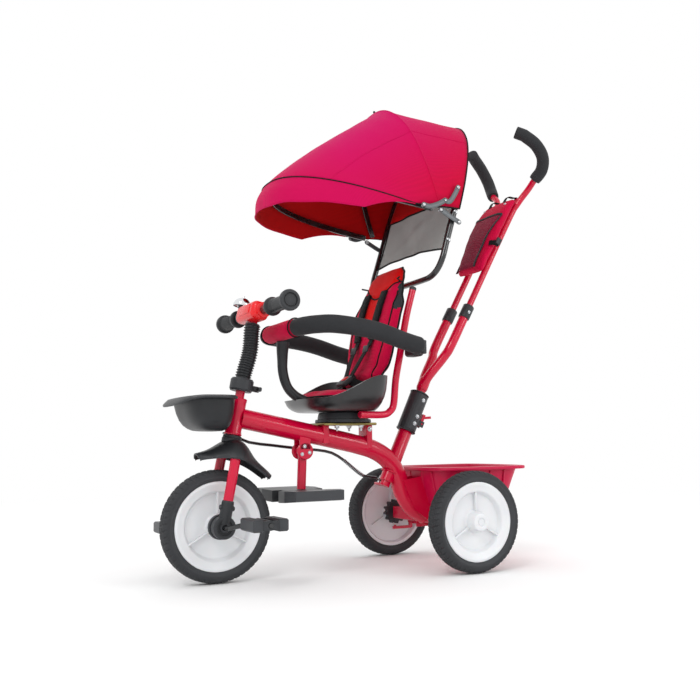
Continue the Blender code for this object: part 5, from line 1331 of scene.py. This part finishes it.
for i in range(29):
    v = i / 28
    row = []
    for j in range(57):
        x = -1 + j / 28
        h = SPLIT - 0.0006 + (low_h - SPLIT) * v
        h += v * (0.020 * (1 - x * x) * 0.55 - 0.004 * (1 + x))
        fold = 0.0035 * math.sin(5.5 * x + 9 * v) * math.exp(-((x - 0.45 + 0.9 * v) / 0.35) ** 2)
        fold += 0.0030 * math.sin(8 * x - 6 * v + 1) * math.exp(-((x + 0.55 - 0.7 * v) / 0.30) ** 2)
        row.append(HP @ Vector((x * w_split * (1 - 0.025 * math.sin(math.pi * v)), fold * (1 - x * x), h)))
    rows.append(row)
bm = bmesh.new()
skin(bm, rows)
window = loose("net_window", bm)
window.data.materials.append(net)
window.data.shade_smooth()
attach(window, "seat")
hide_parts("canopy_mesh")
bm = bmesh.new()
for line in (rows[0], rows[-1], [r[0] for r in rows], [r[-1] for r in rows]):
    sweep(bm, line, 0.0022, 10)
binding = add("net_binding", bm, [webbing], "seat", "black_plastic")

# Side stays: pressed steel toggle links in grey paint, riveted to the hoop and to the front bow.
# Grey hammer paint: dull silver-grey with shallow dimples.
hammer, tree, shader, where = surface("grey_hammer_paint", Metallic=0.35, IOR=1.5)
dimple = node(tree, "TexVoronoi", {"Vector": where, "Scale": 420.0})
cloud = node(tree, "TexNoise", {"Vector": where, "Scale": 40.0, "Detail": 4.0})
tone = node(tree, "Mix", {0: cloud.outputs["Fac"], 6: linear("#4C5053"), 7: linear("#6C7074")},
            data_type="RGBA")
tree.links.new(shader.inputs["Base Color"], tone.outputs[2])
dull = node(tree, "MapRange", {"Value": cloud.outputs["Fac"], "To Min": 0.32, "To Max": 0.48})
tree.links.new(shader.inputs["Roughness"], dull.outputs[0])
bump = node(tree, "Bump", {"Strength": 0.15, "Distance": 0.0003, "Height": dimple.outputs["Distance"]})
tree.links.new(shader.inputs["Normal"], bump.outputs[0])
for side, label in ((1, "left"), (-1, "right")):
    x = side * 0.1790
    for name, pts, body, rivets in (
            ("front_link", ((-0.106, 0.808), (-0.090, 0.806), (-0.068, 0.814), (-0.049, 0.825)),
             "canopy_front",
             ((-0.106, 0.808),)),
            ("rear_link", ((-0.049, 0.825), (-0.036, 0.824), (-0.022, 0.842), (-0.012, 0.860)), "seat",
             ((-0.049, 0.825), (-0.012, 0.860))),
            ("strut", ((-0.060, 0.8020), (-0.036, 0.7900), (-0.012, 0.7790)), "seat",
             ((-0.060, 0.8020), (-0.012, 0.7790)))):
        bm = bmesh.new()
        out = side * (0.0022 if name == "front_link" else 0)
        path = curve([spot(x + out, y, z) for y, z in pts], 5)
        ribbon(bm, path, 0.0056, 0.0024, across=(path[-1] - path[0]).cross(Vector((1, 0, 0))).normalized())
        for end in (path[0], path[-1]):
            turn(bm, [(0, 0.0012), (0.0052, 0.0012), (0.0058, 0.0006), (0.0058, -0.0006), (0.0052, -0.0012),
                      (0, -0.0012)], end, (side, 0, 0), 24)
        for y, z in rivets:
            turn(bm, [(0, 0.0040), (0.0022, 0.0037), (0.0036, 0.0028), (0.0042, 0.0014), (0.0042, -0.0050),
                      (0, -0.0050)], spot(x + out, y, z), (side, 0, 0), 20, 1)
        add(f"{name}_{label}", bm, [hammer, zinc], body, "steel", sharp=50)
bm = bmesh.new()
turn(bm, [(0, 0.0130), (0.0024, 0.0120), (0.0030, 0.0095), (0.0018, 0.0060), (0.0032, 0.0025),
          (0.0052, 0), (0, -0.001)],
     spot(0, -0.130, 1.0695), (0, 0, 1), 24)
add("peak_nub", bm, [black_pp], "seat", "black_plastic")

# Push bar: a steering tube forked into two, with black ferrules where the handle tubes slide in.
SLIDE_DIR = Vector((0, math.sin(math.radians(29.2)), math.cos(math.radians(29.2))))
FERRULE = spot(0, 0.104, 0.607)
HANDLE_X = 0.037
bm = bmesh.new()
junction = PUSH @ Vector((0, 0, 0.266))
sweep(bm, [PUSH @ Vector((0, 0, z)) for z in (-0.0125, 0.10, 0.20, 0.262)], 0.0115, 28)
turn(bm, [(0.0113, 0.2340), (0.0128, 0.2350), (0.0139, 0.2400), (0.0139, 0.2620), (0.0120, 0.2660),
          (0, 0.2670)],
     PUSH.translation, PUSH.to_3x3() @ Vector((0, 0, 1)), 32)
for side in (1, -1):
    top = FERRULE + Vector((side * HANDLE_X, 0, 0))
    foot = top - SLIDE_DIR * 0.105
    pts = [junction - Vector((-side * 0.0021, 0.0093, 0.0171)),
           junction + Vector((side * 0.010, 0.004, 0.007)),
           foot + Vector((-side * 0.010, -0.015, -0.028)), foot, top]
    sweep(bm, curve(pts, 8), 0.0112, 28)
    turn(bm, [(0.0086, 0.0070), (0.0128, 0.0070), (0.0140, 0.0055), (0.0140, -0.0260), (0.0132, -0.0280),
              (0.0112, -0.0285)], top, SLIDE_DIR, 32, 1)
    bolt(bm, top - SLIDE_DIR * 0.012 + Vector((side * 0.0138, 0, 0)), (side, 0, 0), 0.0022, 2)
block(bm, (0.040, 0.014, 0.0045), PUSH @ Matrix.Translation((-0.020, 0, -0.0085)), 0.001, 2)
sweep(bm, [PUSH @ Vector((-0.034, 0, z)) for z in (-0.0095, 0.0120)], 0.0030, 16, 2)
add("forked_push_bar", bm, [enamel, black_pp, zinc], "push_bar", "crimson_paint", "push_bar", sharp=40)
bm = bmesh.new()
for z in (0.148, 0.166, 0.208):
    bolt(bm, PUSH @ Vector((0.0222, 0.004, z)), (1, 0, 0), 0.0030, 0)
    bolt(bm, PUSH @ Vector((-0.0222, 0.004, z)), (-1, 0, 0), 0.0030, 0)
for z in (0.1290, 0.2240):
    sweep(bm, [PUSH @ Vector((math.cos(a) * 0.0224, math.sin(a) * 0.0224, z))
               for a in (2 * math.pi * k / 48 for k in range(48))], 0.0013, 8, 1, loop=True)
add("sleeve_fittings", bm, [zinc, black_pp], "frame", "steel")

# Handle: two enamelled tubes curving out into horns, joined by a crosspiece, with the same foam
# as the guard pushed over the horns.
TOP = spot(0, 0.280, 0.922)
bm = bmesh.new()
horns = {}
for side in (1, -1):
    low = FERRULE + Vector((side * HANDLE_X, 0, 0)) - SLIDE_DIR * 0.040
    bend = FERRULE + Vector((side * HANDLE_X, 0, 0)) + SLIDE_DIR * 0.265
    horn = [(0.066, 0, 0), (0.088, 0.004, 0.020), (0.108, 0.012, 0.042), (0.118, 0.008, 0.072),
            (0.117, -0.012, 0.102), (0.108, -0.040, 0.124)]
    horn = [TOP + Vector((side * x, y, z)) for x, y, z in horn]
    horns[side] = horn
    sweep(bm, curve([low, bend, TOP + Vector((side * 0.046, -0.019, -0.034))] + horn, 6), 0.0080, 24)
sweep(bm, [TOP + Vector((x, -0.014, -0.025)) for x in (-0.052, 0.052)], 0.0072, 24)
add("horned_handle", bm, [enamel], "handle", "crimson_paint", "handle_tubes")
for side, label in ((1, "left"), (-1, "right")):
    bm = bmesh.new()
    line = curve(horns[side], 6)[6:]
    tip = TOP + Vector((side * 0.0965, -0.058, 0.133))
    line = line + [line[-1].lerp(tip, t) for t in (0.25, 0.5, 0.75, 0.94, 1.0)]
    n = len(line)
    sweep(bm, line, [0.0142 if k == 0 else 0.0152 if k == 1 else 0.0138 if k == n - 1 else 0.0153
                     if k == n - 2
                     else 0.0155 + 0.0002 * noise.noise(line[k] * 30) for k in range(n)], 36)
    grip = add(f"foam_horn_{label}", bm, [nbr], "handle", "grey_foam", f"horn_grip_{label}", sharp=60)

# Bag: a flat crimson polyester satchel strapped between the handle tubes, with a maroon net pocket
# bound in grey on its front, plastic snaps at the top and a short strap and clip at the side.
maroon = cloth("maroon_net", "#7A0A30", "#960E3C", thread=0.0026, sheen=0.1, drift=14.0, bump_by=0.8)
normal = Vector((0, -SLIDE_DIR.z, SLIDE_DIR.y))


def bag_point(x, along, out):
    return FERRULE + SLIDE_DIR * along + normal * (0.0095 + out) + Vector((x, 0, 0))


def bag_half(along):
    t = (along - 0.100) / 0.222
    return 0.0625 * (1 - 0.16 * (1 - t) ** 4) * (1 - 0.05 * t ** 6)


bm = bmesh.new()
rings = []
for k in range(23):
    t = k / 22
    along = 0.1005 + 0.2190 * t
    deep = 0.007 + 0.019 * math.sin(math.pi * min(1, 0.10 + 0.80 * (1 - t) ** 0.8)) ** 0.7
    half = bag_half(along)
    ring = []
    for j in range(40):
        a = 2 * math.pi * j / 40
        c, s = math.cos(a), math.sin(a)
        out = deep / 2 + deep / 2 * math.copysign(abs(s) ** 0.7, s)
        ring.append(bag_point(half * math.copysign(abs(c) ** 0.45, c), along, out))
    rings.append(ring)
loft(bm, rings)
bag = loose("satchel", bm)
puff(bag, 2.2, 0.0035, 0.0045)
for v in bag.data.vertices:
    along = (v.co - FERRULE).dot(SLIDE_DIR)
    outer_side = (v.co - FERRULE).dot(normal) > 0.018
    v.co += normal * 0.0022 * noise.noise(Vector((v.co.x * 26, along * 22, 3))) * outer_side
dress(bag, [crimson_weave], "handle", "crimson_cloth", "handle_bag")
tree_of_bag = BVHTree.FromObject(bag, bpy.context.evaluated_depsgraph_get())


def on_bag(x, along, out=0.0008):
    """A point on the bag's front face."""
    start = bag_point(x, along, 0.10)
    hit = tree_of_bag.ray_cast(start, -normal)[0]
    return (hit if hit else bag_point(x, along, 0.012)) + normal * out


bm = bmesh.new()
rows = []
for i in range(17):
    v = i / 16
    row = []
    for j in range(19):
        u = j / 18
        lowest = 0.108
        highest = 0.262
        left, right_edge = -0.057, 0.030 + 0.026 * v ** 1.4
        x = left + (right_edge - left) * u
        along = lowest + (highest - lowest) * v
        row.append(on_bag(x, along, 0.0016 + 0.0022 * math.sin(math.pi * u) * math.sin(math.pi * v)))
    rows.append(row)
skin(bm, rows)
pocket = loose("net_pocket", bm)
pocket.data.materials.append(maroon)
lined(pocket, 0.0008, 0)
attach(pocket, "handle")
bm = bmesh.new()
ribbon(bm, [r[-1] + normal * 0.0008 for r in rows], 0.0034, 0.0016)
ribbon(bm, [p + normal * 0.0008 for p in rows[-1]], 0.0030, 0.0014, across=SLIDE_DIR)
ribbon(bm, [r[0] + normal * 0.0008 for r in rows], 0.0022, 0.0014)
trim = add("pocket_binding", bm, [grey_weave], "handle", "grey_cloth", sharp=50)
bm = bmesh.new()
for side in (1, -1):
    ribbon(bm, curve([bag_point(side * 0.030, 0.300, 0.020), bag_point(side * 0.031, 0.326, 0.018),
                      TOP + Vector((side * 0.031, -0.0225, -0.016)),
                      TOP + Vector((side * 0.031, -0.0120, -0.0155)),
                      TOP + Vector((side * 0.031, -0.0050, -0.026))], 5), 0.0060, 0.0016)
    turn(bm, [(0, 0.0022), (0.0024, 0.0018), (0.0034, 0.0004), (0.0034, -0.002), (0, -0.002)],
         on_bag(side * 0.045, 0.298), normal, 20, 1)
ribbon(bm, curve([on_bag(0.052, 0.175, 0.001), bag_point(0.0655, 0.178, 0.013),
                  bag_point(0.0650, 0.180, 0.002)], 4),
       0.0070, 0.0016, across=SLIDE_DIR)
block(bm, (0.006, 0.018, 0.014), Matrix.Translation(bag_point(0.0665, 0.186,
                                                              0.006)) @ SLIDE_DIR.to_track_quat(
    "Y", "Z").to_matrix().to_4x4(), 0.0016, 3, 2)
add("bag_straps", bm, [webbing, zinc, black_pp], "handle", "black_plastic", sharp=50)

# Rear link spring: a bare wire spring between the link's sleeve and the push bar's arm.
bm = bmesh.new()
line = curve([Vector((-0.034, 0.0, 0.0)) + spot(0, y, z) for y,
              z in ((-0.205, 0.245), (-0.180, 0.225), (-0.156, 0.208))], 60)
coil = []
for k, p in enumerate(line):
    t = (line[min(k + 1, len(line) - 1)] - line[max(k - 1, 0)]).normalized()
    a = t.cross(Vector((1, 0, 0))).normalized()
    turn_by = 2 * math.pi * k / 8
    coil.append(p + Vector((1, 0, 0)) * math.cos(turn_by) * 0.0042 + a * math.sin(turn_by) * 0.0042)
sweep(bm, coil, 0.0007, 8)
add("link_spring", bm, [zinc], "steering_rod", "steel")
